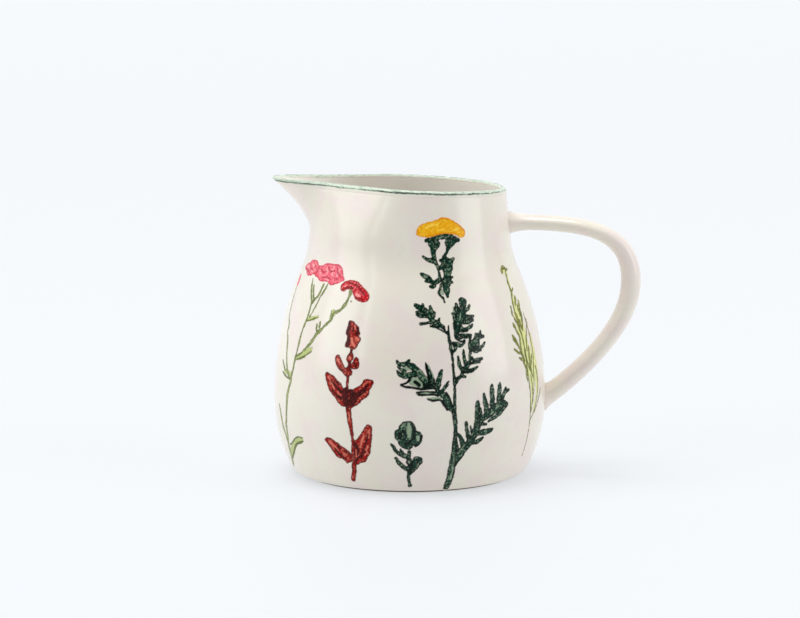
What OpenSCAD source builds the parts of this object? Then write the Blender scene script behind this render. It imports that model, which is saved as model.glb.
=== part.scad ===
// A stoneware pitcher: a thrown body with a pulled spout, a looped handle joined on
// with slip, a bare foot ring, a painted rim and stamped, hand-coloured plants.
// The body's axis is Z, the table is z = 0, the handle is on +X and the spout on -X.

/* [Body] */
// Height of the rim above the table, on the body's axis
rim_h = 156.8; // [125:0.1:195]
// Outside diameter of the rim
rim_d = 103.4; // [84:0.2:126]
// Largest outside diameter, at the belly
belly_d = 146.8; // [122:0.2:178]
// Height of the belly's widest ring
belly_h = 40.5; // [30:0.5:52]
// How far the foot's edge stands in from the belly
foot_inset = 10.3; // [5:0.1:16]
// Rounding of the body's bottom edge
foot_round = 5; // [2:0.1:8]
// Length of the straight neck below the rim
neck_l = 38.8; // [30:0.1:48]
// Outside diameter where the neck meets the shoulder
neck_d = 110.6; // [92:0.2:118]
// Radius of the hollow curve between shoulder and neck
neck_curve = 45; // [30:1:60]
// Thickness of the wall
wall = 4.2; // [3.4:0.1:5.4]
// Thickness of the floor
floor_t = 6; // [4:0.1:9]
// Radius of the rounded inside corner at the floor
floor_round = 16; // [10:0.5:22]
// Radius of the rounded lip
lip_round = 1.6; // [1.1:0.1:2]

/* [Spout] */
// How far the spout's tip stands out from the rim's circle
spout_out = 23.3; // [15:0.1:30]
// How far below the rim the spout starts
spout_drop = 25.8; // [18:0.1:32]
// Half of the spout's width, as an angle about the axis
spout_half = 19; // [15:0.5:28]
// How far the rim is pressed in on each side of the spout
pinch = 4.8; // [0:0.1:7]
// Upward tilt of the rim towards the spout, in degrees
rim_tilt = 2.5; // [0:0.1:5]

/* [Handle] */
// Height of the upper joint's middle, below the rim
handle_drop = 21.4; // [17:0.1:26]
// Height of the lower joint's middle
handle_low = 40; // [32:0.5:52]
// How far the handle's centre line stands out from the belly
handle_out = 45.9; // [36:0.1:56]
// Depth of the handle, front to back
handle_w = 14; // [10:0.1:18]
// Thickness of the handle at the upper joint
handle_t = 8.3; // [6.5:0.1:10.5]
// How much thicker the handle is at its outermost point
handle_swell = 2.5; // [0:0.1:4]
// How far the upper slip joint tapers along the handle
upper_joint_l = 8.5; // [5:0.1:9]
// How far the upper slip joint spreads over the body's wall
upper_joint_spread = 1.9; // [1.2:0.1:3]
// How far the lower slip joint tapers along the handle
lower_joint_l = 4; // [2.5:0.1:6]
// How far the lower slip joint spreads over the body's wall
lower_joint_spread = 1.5; // [1:0.1:2.5]

/* [Foot ring] */
// Height of the bare clay ring
ring_h = 3; // [2:0.1:4]
// Width of the ring's flat foot
ring_w = 7.5; // [5:0.1:10]
// How much of the ring shows below the body's edge
ring_reveal = 1.2; // [0.5:0.1:1.6]
// Width of the body's bottom edge outside the ring
ring_inset = 1.6; // [1:0.1:3]

/* [Colours] */
// How far the painted rim reaches down the outside
band_drop = 1.9; // [1.7:0.1:4]
// Thickness of the painted rim
band_t = 0.25; // [0.2:0.05:0.5]
// Thickness of the stamped plants' colour
colour_t = 0.3; // [0.2:0.05:0.5]

/* [Hidden] */
sides = 72;         // flats around the body
grip_sides = 24;    // flats around the handle

// ---- outer profile: two belly arcs, a hollow arc and a straight neck, each tangent to the next

belly_r = belly_d / 2;
neck_r = neck_d / 2;
rim_r = rim_d / 2;
neck_h = rim_h - neck_l;
spout_h = rim_h - spout_drop;

// the radius of an arc that starts upright and steps in by d over a height of h
function arc_radius(d, h) = (d * d + h * h) / (2 * d);

low_r = arc_radius(foot_inset, belly_h - ring_reveal);   // belly's lower arc
low_x = belly_r - low_r;
high_r = arc_radius(belly_r - neck_r, neck_h - belly_h); // belly's upper arc
high_c = [belly_r - high_r, belly_h];

neck_dir = [rim_r - neck_r, neck_l] / norm([rim_r - neck_r, neck_l]);
neck_out = [neck_dir[1], -neck_dir[0]];
hollow_from = [neck_r, neck_h] + neck_curve * neck_out;
hollow_w = hollow_from - high_c;
hollow_s = -hollow_w * neck_dir
    + sqrt((hollow_w * neck_dir) ^ 2 - hollow_w * hollow_w + (high_r + neck_curve) ^ 2);
hollow_c = hollow_from + hollow_s * neck_dir;            // centre of the hollow arc
hollow_low = (high_c + high_r * (hollow_c - high_c) / (high_r + neck_curve))[1];
hollow_high = (hollow_c - neck_curve * neck_out)[1];

// outer radius of the round body at height z
function outer_r(z) =
    z < belly_h ? low_x + sqrt(max(low_r ^ 2 - (z - belly_h) ^ 2, 0)) :
    z < hollow_low ? high_c[0] + sqrt(high_r ^ 2 - (z - belly_h) ^ 2) :
    z < hollow_high ? hollow_c[0] - sqrt(neck_curve ^ 2 - (z - hollow_c[1]) ^ 2) :
    rim_r + (rim_h - z) * (neck_r - rim_r) / neck_l;

// the rounded bottom edge
edge_z = ring_reveal + foot_round;
edge_x = low_x + sqrt((low_r - foot_round) ^ 2 - (belly_h - edge_z) ^ 2);
edge_turn = 90 - atan2(belly_h - edge_z, edge_x - low_x);
function edge_point(k) = let (a = -90 + k * edge_turn)
    [edge_x + foot_round * cos(a), edge_z + foot_round * sin(a)];
edge_top = edge_point(1)[1];
edge_turns = 4;          // flats round the edge
seat_r = edge_x - ring_inset;                            // outer radius of the foot ring

// even steps from a to b without the two ends
function between(a, b, n) = [for (i = [1 : n - 1]) a + (b - a) * i / n];

wall_heights = concat(
    between(edge_top, belly_h, 5), [belly_h],
    between(belly_h, hollow_low, 11), [hollow_low],
    between(hollow_low, hollow_high, 4), [hollow_high],
    between(hollow_high, rim_h - band_drop, 9));

// the lip, from the outer wall over the top: k runs from 0 to 1, off is a skin's thickness
lip_z = rim_h - lip_round;
function lip_point(k, off) = let (a = 180 * k)
    [rim_r - lip_round + (lip_round + off) * cos(a), lip_z + (lip_round + off) * sin(a)];
lip_turns = 4;          // flats over the lip
lip_steps = [0 : 1 / lip_turns : 1];
band_low = rim_h - band_drop;

inner_floor = ring_h + floor_t;
inner_low = inner_floor + floor_round;
function inner_r(z) = outer_r(z) - (z < spout_h ? wall
    : wall + (2 * lip_round - wall) * (z - spout_h) / (lip_z - spout_h));

outer_section = concat(
    [[seat_r, ring_h], [seat_r, ring_reveal]],
    [for (k = [0 : 1 / edge_turns : 1]) edge_point(k)],
    [for (z = wall_heights) [outer_r(z), z]],
    [[outer_r(band_low), band_low]]);
inner_heights = concat(
    between(lip_z, spout_h, 5), [spout_h], between(spout_h, hollow_low, 3),
    [hollow_low], between(hollow_low, belly_h, 7), [belly_h], [(belly_h + inner_low) / 2]);
inner_section = concat(
    [for (z = inner_heights) [inner_r(z), z]],
    [for (a = [0 : 15 : 90]) [inner_r(inner_low) - floor_round * (1 - cos(a)),
        inner_low - floor_round * sin(a)]]);
body_section = concat(outer_section, [for (k = lip_steps) lip_point(k, 0)], inner_section);

// ---- the spout: how the round section is pulled out and pressed in at angle a from the handle

function bell(x) = exp(-x * x);
function from_spout(a) = abs(a > 180 ? a - 180 : 180 - a);
function pull(a, u) =
    spout_out * pow(u, 1.55) * exp(-pow(from_spout(a) / spout_half, 2.5))
    - pinch * pow(u, 1.5) * bell((from_spout(a) - 58) / 22);
function share(z, from, to) = min(max((z - from) / (to - from), 0), 1.1);
function rim_lift(a) = -tan(rim_tilt) * (rim_r + pull(a, 1)) * cos(a);
function shaped(p, a) = let (r = p[0] + pull(a, share(p[1], spout_h, rim_h)))
    [r * cos(a), r * sin(a), p[1] + rim_lift(a) * share(p[1], neck_h, rim_h)];
function ring_of(p) = [for (j = [0 : sides - 1]) shaped(p, 360 * j / sides)];

// ---- lofts through rings of points

function flat_list(rows) = [for (row = rows) each row];
function band_faces(k0, k1, n) = [for (j = [0 : n - 1]) let (i = (j + 1) % n)
    each [[k0 * n + j, k1 * n + j, k0 * n + i], [k0 * n + i, k1 * n + j, k1 * n + i]]];

// a solid with a point at each end
module capped_loft(rows, first, last) {
    n = len(rows[0]);
    m = len(rows);
    polyhedron(concat(flat_list(rows), [first, last]), concat(
        [for (j = [0 : n - 1]) [m * n, j, (j + 1) % n]],
        [for (k = [0 : m - 2]) each band_faces(k, k + 1, n)],
        [for (j = [0 : n - 1]) [m * n + 1, (m - 1) * n + (j + 1) % n, (m - 1) * n + j]]));
}

// a closed ring, whose last row meets its first
module ring_loft(rows) {
    m = len(rows);
    polyhedron(flat_list(rows), [for (k = [0 : m - 1]) each band_faces(k, (k + 1) % m, len(rows[0]))]);
}

// ---- handle: two curves that meet upright at the outermost point

grip_x = belly_r + handle_out;
grip_top = rim_h - handle_drop;
grip_mid = handle_low + (grip_top - handle_low) * 0.66;
top_root = [outer_r(grip_top), grip_top];
low_root = [outer_r(handle_low), handle_low];
upper_curve = [top_root, [top_root[0] + (grip_x - top_root[0]) * 0.645, grip_top + 0.1],
    [grip_x, grip_mid + (grip_top - grip_mid) * 0.864], [grip_x, grip_mid]];
lower_curve = [[grip_x, grip_mid], [grip_x, handle_low + (grip_mid - handle_low) * 0.683],
    [low_root[0] + (grip_x - low_root[0]) * 0.607, handle_low + (grip_mid - handle_low) * 0.333], low_root];

function curve_at(c, t) =
    (1 - t) ^ 3 * c[0] + 3 * t * (1 - t) ^ 2 * c[1] + 3 * t ^ 2 * (1 - t) * c[2] + t ^ 3 * c[3];
function unit(v) = v / norm(v);
function curve_dir(c, t) =
    unit((1 - t) ^ 2 * (c[1] - c[0]) + 2 * t * (1 - t) * (c[2] - c[1]) + t ^ 2 * (c[3] - c[2]));

// s runs from 0 at the upper joint, past 1 at the outermost point, to 2 at the lower joint
function grip_at(s) = s < 1 ? curve_at(upper_curve, s) : curve_at(lower_curve, s - 1);
function grip_dir(s) = s < 1 ? curve_dir(upper_curve, s) : curve_dir(lower_curve, s - 1);
function grip_t(s) = handle_t + handle_swell * lookup(s, [[0, 0], [0.45, 0.1], [1, 1], [1.5, 0.6], [2, 0.85]]);

// a point of the handle's oval, seen along it, for angle b and grown by grow
function grip_point(s, b, grow) = let (c = grip_at(s), d = grip_dir(s))
    [c[0] - d[1] * (grip_t(s) / 2 + grow) * sin(b), (handle_w / 2 + grow) * cos(b),
        c[1] + d[0] * (grip_t(s) / 2 + grow) * sin(b)];

// how far outside the body's wall a point lies, and the point slid along d onto the wall
function clear_of(p) = norm([p[0], p[1]]) - outer_r(p[2]);
function onto_wall(p, d, n = 7) = n == 0 ? p :
    let (g = clear_of(p), slope = (clear_of(p + 0.2 * d) - g) / 0.2)
    onto_wall(p - d * g / slope, d, n - 1);
function along(s) = let (d = grip_dir(s)) [d[0], 0, d[1]];
function root_point(s, b, grow) = onto_wall(grip_point(s, b, grow), along(s));
function turn(j) = 360 * j / grip_sides;
function root_ring(s, shrink) = [for (j = [0 : grip_sides - 1])
    let (c = grip_at(s)) onto_wall(shrink * grip_point(s, turn(j), 0) + (1 - shrink) * [c[0], 0, c[1]], along(s))];

grip_start = 0.08;
grip_end = 1.9;
grip_rows = 34;
handle_rows = concat(
    [root_ring(0, 0.5), root_ring(0, 1)],
    [for (i = [0 : grip_rows]) let (s = grip_start + (grip_end - grip_start) * i / grip_rows)
        [for (j = [0 : grip_sides - 1]) grip_point(s, turn(j), 0)]],
    [root_ring(2, 1), root_ring(2, 0.5)]);

// ---- slip joints: a hollow fillet between the handle and the wall. It runs l along the handle, towards the
// handle's outline at station next, and spreads over the wall: way is 1 or -1 along the handle

function fillet_row(s, next, b, way, l, spread) =
    let (root = root_point(s, b, 0),
        edge = root_point(s, b, spread),
        run = grip_point(next, b, 0) - root,
        up = root + run * l / norm(run),
        mid = root + (up + edge - 2 * root) * 0.16)
    [root, up, for (k = between(0, 1, 5)) (1 - k) ^ 2 * up + 2 * k * (1 - k) * mid + k ^ 2 * edge, edge];
module slip_joint(s, next, way, l, spread) {
    columns = [for (j = [0 : grip_sides - 1]) fillet_row(s, next, turn(way * j), way, l, spread)];
    ring_loft([for (k = [0 : len(columns[0]) - 1]) [for (c = columns) c[k]]]);
}

// ---- stamped plants: brush strokes drawn flat at the plant's place, then laid on the wall as a thin skin.
// A stroke is a list of [across, height, width], for the body as drawn: these two sizes scale it.

drawn_belly_d = 146.8;
drawn_rim_h = 156.8;
grow_x = belly_d / drawn_belly_d;
grow_z = rim_h / drawn_rim_h;
grow_w = max(grow_x, grow_z);   // widths grow too, so that strokes that touch still do
reach_out = belly_r + 5;

module dab(p) {
    translate([p[0] * grow_x, p[1] * grow_z]) circle(d = p[2] * grow_w, $fn = 8);
}
module stroke(points) {
    for (i = [1 : len(points) - 1]) hull() {
        dab(points[i - 1]);
        dab(points[i]);
    }
}
// an almond leaf from its base to its tip
function leaf(b, t, w) = [[b[0], b[1], 0.8], [(b[0] + t[0]) / 2, (b[1] + t[1]) / 2, w], [t[0], t[1], 0.8]];

module skin() {
    heights = concat([edge_top], wall_heights);
    rotate_extrude($fn = sides) polygon(concat(
        [for (z = heights) [outer_r(z) + colour_t, z]],
        [for (i = [len(heights) - 1 : -1 : 0]) [outer_r(heights[i]), heights[i]]]));
}
// place is the plant's angle around the axis: 0 in front, 90 at the handle
module stamped(place, strokes) {
    intersection() {
        skin();
        rotate([0, 0, place]) rotate([90, 0, 0]) linear_extrude(reach_out)
            for (s = strokes) stroke(s);
    }
}

tansy_flower = [
    [[-11, 135, 5], [-8, 137, 7], [-4, 138.5, 8], [0, 138.8, 8.5], [4, 138.3, 8.5], [7, 137, 8.5],
        [10.5, 135.3, 5]],
    [[-11, 134.6, 4], [-5, 135, 4], [0, 135.8, 4]],
];
tansy_leaves = [
    [[-9, 131.8, 1.6], [0, 132.6, 3], [8.5, 131.8, 1.6]],
    [[-7, 131.2, 3], [-5.5, 126, 2.2], [-4, 121, 2], [-0.5, 118.5, 2.4]],
    [[6.5, 131, 3], [3.5, 126, 2.6], [2.5, 122, 6.4], [2.2, 116, 6.6], [0, 106, 5.2], [-1.8, 100.5, 1]],
    leaf([-4.5, 120], [-11, 122.5], 3), leaf([-3, 110], [-12.5, 114], 4),
    [[-1.8, 100.5, 0.9], [-1.6, 84, 1.1], [0, 75, 1.5], [0.6, 60, 2], [-0.2, 44.5, 2.3], [0.9, 35, 2.4],
        [0.7, 26, 2.8], [-0.6, 13, 3.2], [-1.2, 7.5, 2.2]],
    leaf([-1.6, 85], [-17, 98], 4.5), leaf([-4, 87], [-13.5, 90.5], 3), leaf([-6, 90], [-9.5, 98.5], 3),
    [[1.5, 76, 2], [4.5, 84, 6.5], [6.5, 92, 7.5], [7.6, 101, 2]],
    leaf([7, 76], [13.6, 90], 4.5), leaf([9, 76], [19, 85], 5),
    leaf([1.5, 63], [17, 74.5], 5.5), leaf([3, 62], [8.5, 72.5], 3.6),
    [[-0.8, 45, 2], [-8, 53, 6], [-17, 60, 9], [-23, 65.5, 9.5], [-27, 69.5, 4]],
    leaf([-8, 55], [-12.5, 69.5], 3), leaf([-4, 52], [-7, 65], 3), leaf([-14, 56], [-20.5, 53.5], 3.4),
    [[1.5, 20, 3], [8, 30, 6.4], [16, 38.5, 7], [24, 45, 7], [31.5, 50.5, 4]],
    leaf([7, 30], [6.8, 41], 3.2), leaf([12, 37], [13, 51], 3.6), leaf([17, 42], [17.6, 55.5], 3.2),
    leaf([21, 45], [22.6, 57.5], 3), leaf([26, 48], [28, 58], 2.8), leaf([13, 33], [20, 31], 3),
        leaf([20, 39], [27.5, 38.5], 3),
];
bud_plant = [
    [[-3.5, 31, 6], [-2.5, 35, 9], [0, 37, 7.5], [3.5, 33.5, 7], [5, 31, 5]],
    [[-2, 31, 7], [1.5, 29, 6], [1.2, 25, 1.4], [1.2, 16, 1.3], [1, 8, 1.4]],
    leaf([0.8, 20], [-8.4, 28], 3.6), leaf([0.8, 13], [-6.6, 20.6], 3.2), leaf([1.2, 12], [7, 21.4], 3.6),
];
sage_plant = [
    [[-2.4, 90, 0.8], [-1.4, 85, 4], [-0.6, 79, 6.4], [1, 75, 3.2], [1.2, 71, 1.6], [0.6, 62, 2],
        [0.4, 47, 2.2], [1.6, 32, 2.6], [1.8, 18, 2.6], [0.2, 9, 2.2]],
    leaf([0.5, 65], [-8.6, 73], 4.4), leaf([1, 63], [5, 73], 5.6),
    leaf([-0.4, 48], [-14.4, 63.6], 8.5), leaf([0.8, 48], [13.4, 61.4], 8.5),
    leaf([0.6, 17], [-14.6, 29], 7), leaf([1.8, 17], [11.4, 38], 7.5),
];
pink_flowers = [
    [[-20.5, 112.5, 5], [-18, 114, 6.5], [-13, 114.5, 7], [-9, 112.5, 5], [-5, 111, 5.5], [0, 112, 10],
        [4.5, 113, 10.5], [8.5, 112, 10], [11, 110.5, 6]],
    [[-27, 108, 2], [-27.6, 105, 2.6], [-28.2, 102.5, 1.2]],
];
crimson_flower = [
    [[14.5, 106.5, 4], [17.5, 108, 5.5], [20.5, 107.8, 6.5], [23.5, 106, 6.5], [26, 103.8, 7.5],
        [28, 102, 7]],
    [[17, 107, 4], [24, 103, 5], [28.5, 100.5, 4.5]],
];
pink_plant_stems = [
    [[-12, 108, 1.4], [-8, 98, 1.2], [-5.5, 93, 1.4], [-5.6, 87, 1.4], [-7.4, 78, 1.5], [-9.2, 70, 1.6],
        [-12, 56, 1.7], [-16.4, 48, 1.8], [-17.6, 38, 1.8], [-17.8, 29, 1.8], [-20, 17, 1.8],
        [-22.4, 8, 1.6]],
    [[-2, 106.5, 1.2], [-3.4, 100, 1.2], [-5.5, 93, 1.2]], [[3, 106, 1.2], [0, 101, 1.2], [-5.5, 93, 1.4]],
    [[23, 101, 1.4], [19, 96, 1.4], [6.2, 82.6, 1.6], [1, 75, 1.8], [-6, 66, 1.6], [-11.5, 57, 1.6]],
    leaf([-5.4, 88.4], [2, 92.2], 2.6), leaf([12.8, 89], [13.4, 95.4], 2.6), leaf([0, 73], [-8, 68], 3.6),
        leaf([9.4, 85.6], [8, 91.5], 2.2),
    [[-28.4, 101, 0.9], [-28, 96, 0.9], [-26.4, 88, 1], [-24.4, 81, 1], [-21.4, 70, 1.1], [-17, 60, 1.1],
        [-12.4, 56, 1.2]],
    leaf([-17, 60], [-23, 66], 3), leaf([-20, 14.6], [-1.4, 25.4], 4.6), leaf([-19.2, 21.4],
        [-26, 39], 2.2),
];
grass_plant = [
    [[-1.6, 115, 2.4], [0.6, 111.5, 1.4], [1.4, 106, 0.8], [0.8, 100, 0.9], [0.6, 92, 1.2], [2, 80, 1.4],
        [3, 68, 1.6], [2.6, 58, 1.4], [1, 45, 1], [0.6, 30, 1], [0.2, 16, 0.8]],
    leaf([1, 88], [3.4, 101], 3), leaf([1, 88], [-2.6, 99], 2.2), leaf([2, 80], [-2.6, 88], 2.4),
    leaf([2, 76], [-4, 80.5], 2.6), leaf([2.6, 70], [-3.4, 73.6], 2.2), leaf([2.6, 70], [7, 88], 2.4),
        leaf([2.4, 62], [8, 78], 2.4),
    [[8.4, 70, 1], [7.4, 60, 1.2], [4.4, 50, 1.2], [2.4, 42, 1]],
];

// where each plant stands, in front and behind
front_places = [18, -1, -26, -50, 59];
back_places = [152, 184, 204, 238, 116];

// ---- sub-parts

module body() {
    color("oldlace") capped_loft([for (p = body_section) ring_of(p)], [0, 0, ring_h], [0, 0, inner_floor]);
}
module foot_ring() {
    color("tan") rotate_extrude($fn = 144) difference() {
        translate([seat_r - ring_w, 0]) square([ring_w, ring_h]);
        translate([seat_r - ring_w, 0]) rotate(45) square(1, center = true);
        translate([seat_r, 0]) rotate(45) square(0.8, center = true);
    }
}
module handle() {
    color("antiquewhite") capped_loft(handle_rows, [top_root[0], 0, top_root[1]],
        [low_root[0], 0, low_root[1]]);
}
module upper_handle_joint() {
    color("linen") slip_joint(0, grip_start, 1, upper_joint_l, upper_joint_spread);
}
module lower_handle_joint() {
    color("linen") slip_joint(2, grip_end, -1, lower_joint_l, lower_joint_spread);
}
module rim_band() {
    rows = concat(
        [[outer_r(band_low) + band_t, band_low]],
        [for (k = lip_steps) lip_point(k, band_t)],
        [for (i = [lip_turns : -1 : 0]) lip_point(i / lip_turns, 0)],
        [[outer_r(band_low), band_low]]);
    color("darkslategray") ring_loft([for (p = rows) ring_of(p)]);
}
module tansy_flower(place) {
    color("orange") stamped(place, tansy_flower);
}
module tansy_leaves(place) {
    color("darkgreen") stamped(place, tansy_leaves);
}
module bud_plant(place) {
    color("darkslategray") stamped(place, bud_plant);
}
module sage_plant(place) {
    color("firebrick") stamped(place, sage_plant);
}
module pink_flowers(place) {
    color("palevioletred") stamped(place, pink_flowers);
}
module crimson_flower(place) {
    color("crimson") stamped(place, crimson_flower);
}
module pink_plant_stems(place) {
    color("olivedrab") stamped(place, pink_plant_stems);
}
module grass_plant(place) {
    color("yellowgreen") stamped(place, grass_plant);
}

body();
foot_ring();
handle();
upper_handle_joint();
lower_handle_joint();
rim_band();
tansy_flower(front_places[0]);  // front_tansy_flower
tansy_leaves(front_places[0]);  // front_tansy_leaves
bud_plant(front_places[1]);  // front_bud_plant
sage_plant(front_places[2]);  // front_sage_plant
pink_flowers(front_places[3]);  // front_pink_flowers
crimson_flower(front_places[3]);  // front_crimson_flower
pink_plant_stems(front_places[3]);  // front_pink_plant_stems
grass_plant(front_places[4]);  // front_grass_plant
tansy_flower(back_places[0]);  // back_tansy_flower
tansy_leaves(back_places[0]);  // back_tansy_leaves
bud_plant(back_places[1]);  // back_bud_plant
sage_plant(back_places[2]);  // back_sage_plant
pink_flowers(back_places[3]);  // back_pink_flowers
crimson_flower(back_places[3]);  // back_crimson_flower
pink_plant_stems(back_places[3]);  // back_pink_plant_stems
grass_plant(back_places[4]);  // back_grass_plant
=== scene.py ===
import bpy
import bmesh
import numpy as np
from math import cos, pi, radians, sin, sqrt, tan
from mathutils import Matrix, Vector


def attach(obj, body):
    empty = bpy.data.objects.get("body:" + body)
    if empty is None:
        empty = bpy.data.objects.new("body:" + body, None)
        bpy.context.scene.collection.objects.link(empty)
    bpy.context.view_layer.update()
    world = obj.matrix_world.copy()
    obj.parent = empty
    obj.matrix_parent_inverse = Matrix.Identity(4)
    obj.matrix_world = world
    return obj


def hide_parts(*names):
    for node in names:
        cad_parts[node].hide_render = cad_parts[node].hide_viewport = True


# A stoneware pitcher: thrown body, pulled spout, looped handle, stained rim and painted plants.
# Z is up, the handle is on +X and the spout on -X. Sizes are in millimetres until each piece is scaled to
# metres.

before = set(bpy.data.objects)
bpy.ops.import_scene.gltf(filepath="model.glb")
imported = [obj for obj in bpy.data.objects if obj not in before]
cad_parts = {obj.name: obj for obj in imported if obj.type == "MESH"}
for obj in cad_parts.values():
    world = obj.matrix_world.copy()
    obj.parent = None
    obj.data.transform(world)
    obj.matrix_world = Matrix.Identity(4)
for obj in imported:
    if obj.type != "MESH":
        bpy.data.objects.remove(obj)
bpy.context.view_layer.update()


def mm(value):
    return value / 1000.0


def smooth(t):
    t = np.clip(t, 0.0, 1.0)
    return t * t * (3 - 2 * t)


# the thrown form

bodyShape = {
    "rimHeight": 156.8,
    "rimAcross": 103.4,
    "bellyAcross": 146.8,
    "bellyHeight": 40.5,
    "footInset": 10.3,       # how far the foot's edge stands in from the belly
    "footRounding": 5.0,
    "neckLength": 38.8,
    "neckAcross": 110.6,
    "hollowRadius": 45.0,    # the hollow curve between shoulder and neck
    "wall": 4.2,
    "insideFloor": 9.0,
    "floorRounding": 16.0,
    "lipRadius": 1.6,
    "ringHeight": 3.0,
    "ringWidth": 7.5,
    "ringReveal": 1.2,       # how far the bare ring stands below the glaze
    "ringInset": 1.6,
    "unevenness": 0.11,      # how far the thrown wall strays from true
    "sides": 288,
}
spoutShape = {
    "reach": 23.3,
    "drop": 25.8,
    "halfAngle": 19.0,
    "pinch": 4.8,            # the rim is pressed in on both sides of the spout
    "pinchAngle": 58.0,
    "pinchWidth": 22.0,
    "rimTilt": 2.5,
}

rimZ = bodyShape["rimHeight"]
rimR = bodyShape["rimAcross"] / 2
bellyR = bodyShape["bellyAcross"] / 2
bellyZ = bodyShape["bellyHeight"]
neckR = bodyShape["neckAcross"] / 2
neckZ = rimZ - bodyShape["neckLength"]
spoutZ = rimZ - spoutShape["drop"]
lipR = bodyShape["lipRadius"]


def arcRadius(step, height):
    return (step * step + height * height) / (2 * step)


# two belly arcs, then a hollow arc tangent to the upper one and to the straight neck
lowR = arcRadius(bodyShape["footInset"], bellyZ - bodyShape["ringReveal"])
lowX = bellyR - lowR
highR = arcRadius(bellyR - neckR, neckZ - bellyZ)
highX = bellyR - highR
neckDir = Vector((rimR - neckR, bodyShape["neckLength"])).normalized()
neckOut = Vector((neckDir.y, -neckDir.x))
hollowStart = Vector((neckR, neckZ)) + bodyShape["hollowRadius"] * neckOut
gap = hollowStart - Vector((highX, bellyZ))
gapAlong = gap.dot(neckDir)
slide = -gapAlong + sqrt(gapAlong ** 2 - gap.length_squared + (highR + bodyShape["hollowRadius"]) ** 2)
hollowMid = hollowStart + slide * neckDir
hollowLow = (Vector((highX, bellyZ)) + highR * (hollowMid - Vector((highX, bellyZ))).normalized()).y
hollowHigh = (hollowMid - bodyShape["hollowRadius"] * neckOut).y


def outerRadius(z):
    z = np.asarray(z, dtype=float)
    low = lowX + np.sqrt(np.maximum(lowR ** 2 - (z - bellyZ) ** 2, 0))
    high = highX + np.sqrt(np.maximum(highR ** 2 - (z - bellyZ) ** 2, 0))
    hollow = hollowMid.x - np.sqrt(np.maximum(bodyShape["hollowRadius"] ** 2 - (z - hollowMid.y) ** 2, 0))
    neck = rimR + (rimZ - z) * (neckR - rimR) / bodyShape["neckLength"]
    return np.select([z < bellyZ, z < hollowLow, z < hollowHigh], [low, high, hollow], neck)


def fromSpout(angle):
    return np.abs(180 - np.mod(angle, 360))


def pulledOut(angle, share):
    away = fromSpout(angle)
    spout = spoutShape["reach"] * share ** 1.55 * np.exp(-(away / spoutShape["halfAngle"]) ** 2.5)
    beside = (away - spoutShape["pinchAngle"]) / spoutShape["pinchWidth"]
    return spout - spoutShape["pinch"] * share ** 1.5 * np.exp(-beside ** 2)


def rimLift(angle):
    return -tan(radians(spoutShape["rimTilt"])) * (rimR + pulledOut(angle, 1.0)) * np.cos(np.radians(angle))


# soft dents and throwing rings, never outwards past the true form
def strayed(angle, z):
    a = np.radians(angle)
    waves = (0.42 * np.sin(2 * a + 0.7 + z / 41) + 0.30 * np.sin(3 * a - 1.1 - z / 23)
        + 0.16 * np.sin(7 * a + z / 17) + 0.12 * np.sin(z / 3.1 + 0.8 * np.sin(a)))
    return bodyShape["unevenness"] * (waves - 1.0)


# turns points of the round form into points of the finished one
def shaped(points):
    points = np.asarray(points, dtype=float)
    r = np.hypot(points[:, 0], points[:, 1])
    angle = np.degrees(np.arctan2(points[:, 1], points[:, 0]))
    z = points[:, 2]
    share = np.clip((z - spoutZ) / (rimZ - spoutZ), 0, 1.1)
    high = np.clip((z - neckZ) / (rimZ - neckZ), 0, 1.1)
    r = r + pulledOut(angle, share) + strayed(angle, z) * smooth((r - 20) / 30) * smooth(z / 12)
    a = np.radians(angle)
    return np.stack([r * np.cos(a), r * np.sin(a), z + rimLift(angle) * high], axis=1)


def moveVerts(bm, points):
    for vert, point in zip(bm.verts, points):
        vert.co = point


def allPoints(bm):
    return np.array([vert.co[:] for vert in bm.verts])


# a row of vertices joined by edges, in the XZ plane
def profile(bm, points):
    verts = [bm.verts.new((r, 0.0, z)) for r, z in points]
    return verts + [bm.edges.new(pair) for pair in zip(verts, verts[1:])]


def spinRound(bm, points, steps):
    bmesh.ops.spin(bm, geom=profile(bm, points), cent=(0, 0, 0), axis=(0, 0, 1), angle=2 * pi, steps=steps,
        use_merge=True)
    bmesh.ops.remove_doubles(bm, verts=bm.verts[:], dist=0.0001)
    bmesh.ops.recalc_face_normals(bm, faces=bm.faces[:])


def finishPiece(bm, name, material, nodes):
    mesh = bpy.data.meshes.new(name)
    bmesh.ops.scale(bm, vec=(0.001, 0.001, 0.001), verts=bm.verts[:])
    bm.to_mesh(mesh)
    bm.free()
    mesh.polygons.foreach_set("use_smooth", [True] * len(mesh.polygons))
    piece = bpy.data.objects.new(name, mesh)
    bpy.context.scene.collection.objects.link(piece)
    mesh.materials.append(material)
    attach(piece, "root")
    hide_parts(*nodes)
    print("made", name, len(mesh.polygons), "faces")
    return piece


# materials

def linear(hexCode):
    channels = [int(hexCode[i:i + 2], 16) / 255 for i in (0, 2, 4)]
    return tuple(c / 12.92 if c <= 0.04045 else ((c + 0.055) / 1.055) ** 2.4 for c in channels) + (1.0,)


# adds a node, sets its settings and joins its inputs to values or to other nodes' outputs
def addNode(tree, kind, settings=None, inputs=None):
    node = tree.nodes.new(kind)
    for key, value in (settings or {}).items():
        setattr(node, key, value)
    for key, value in (inputs or {}).items():
        if isinstance(value, bpy.types.NodeSocket):
            tree.links.new(value, node.inputs[key])
        else:
            node.inputs[key].default_value = value
    return node


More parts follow.
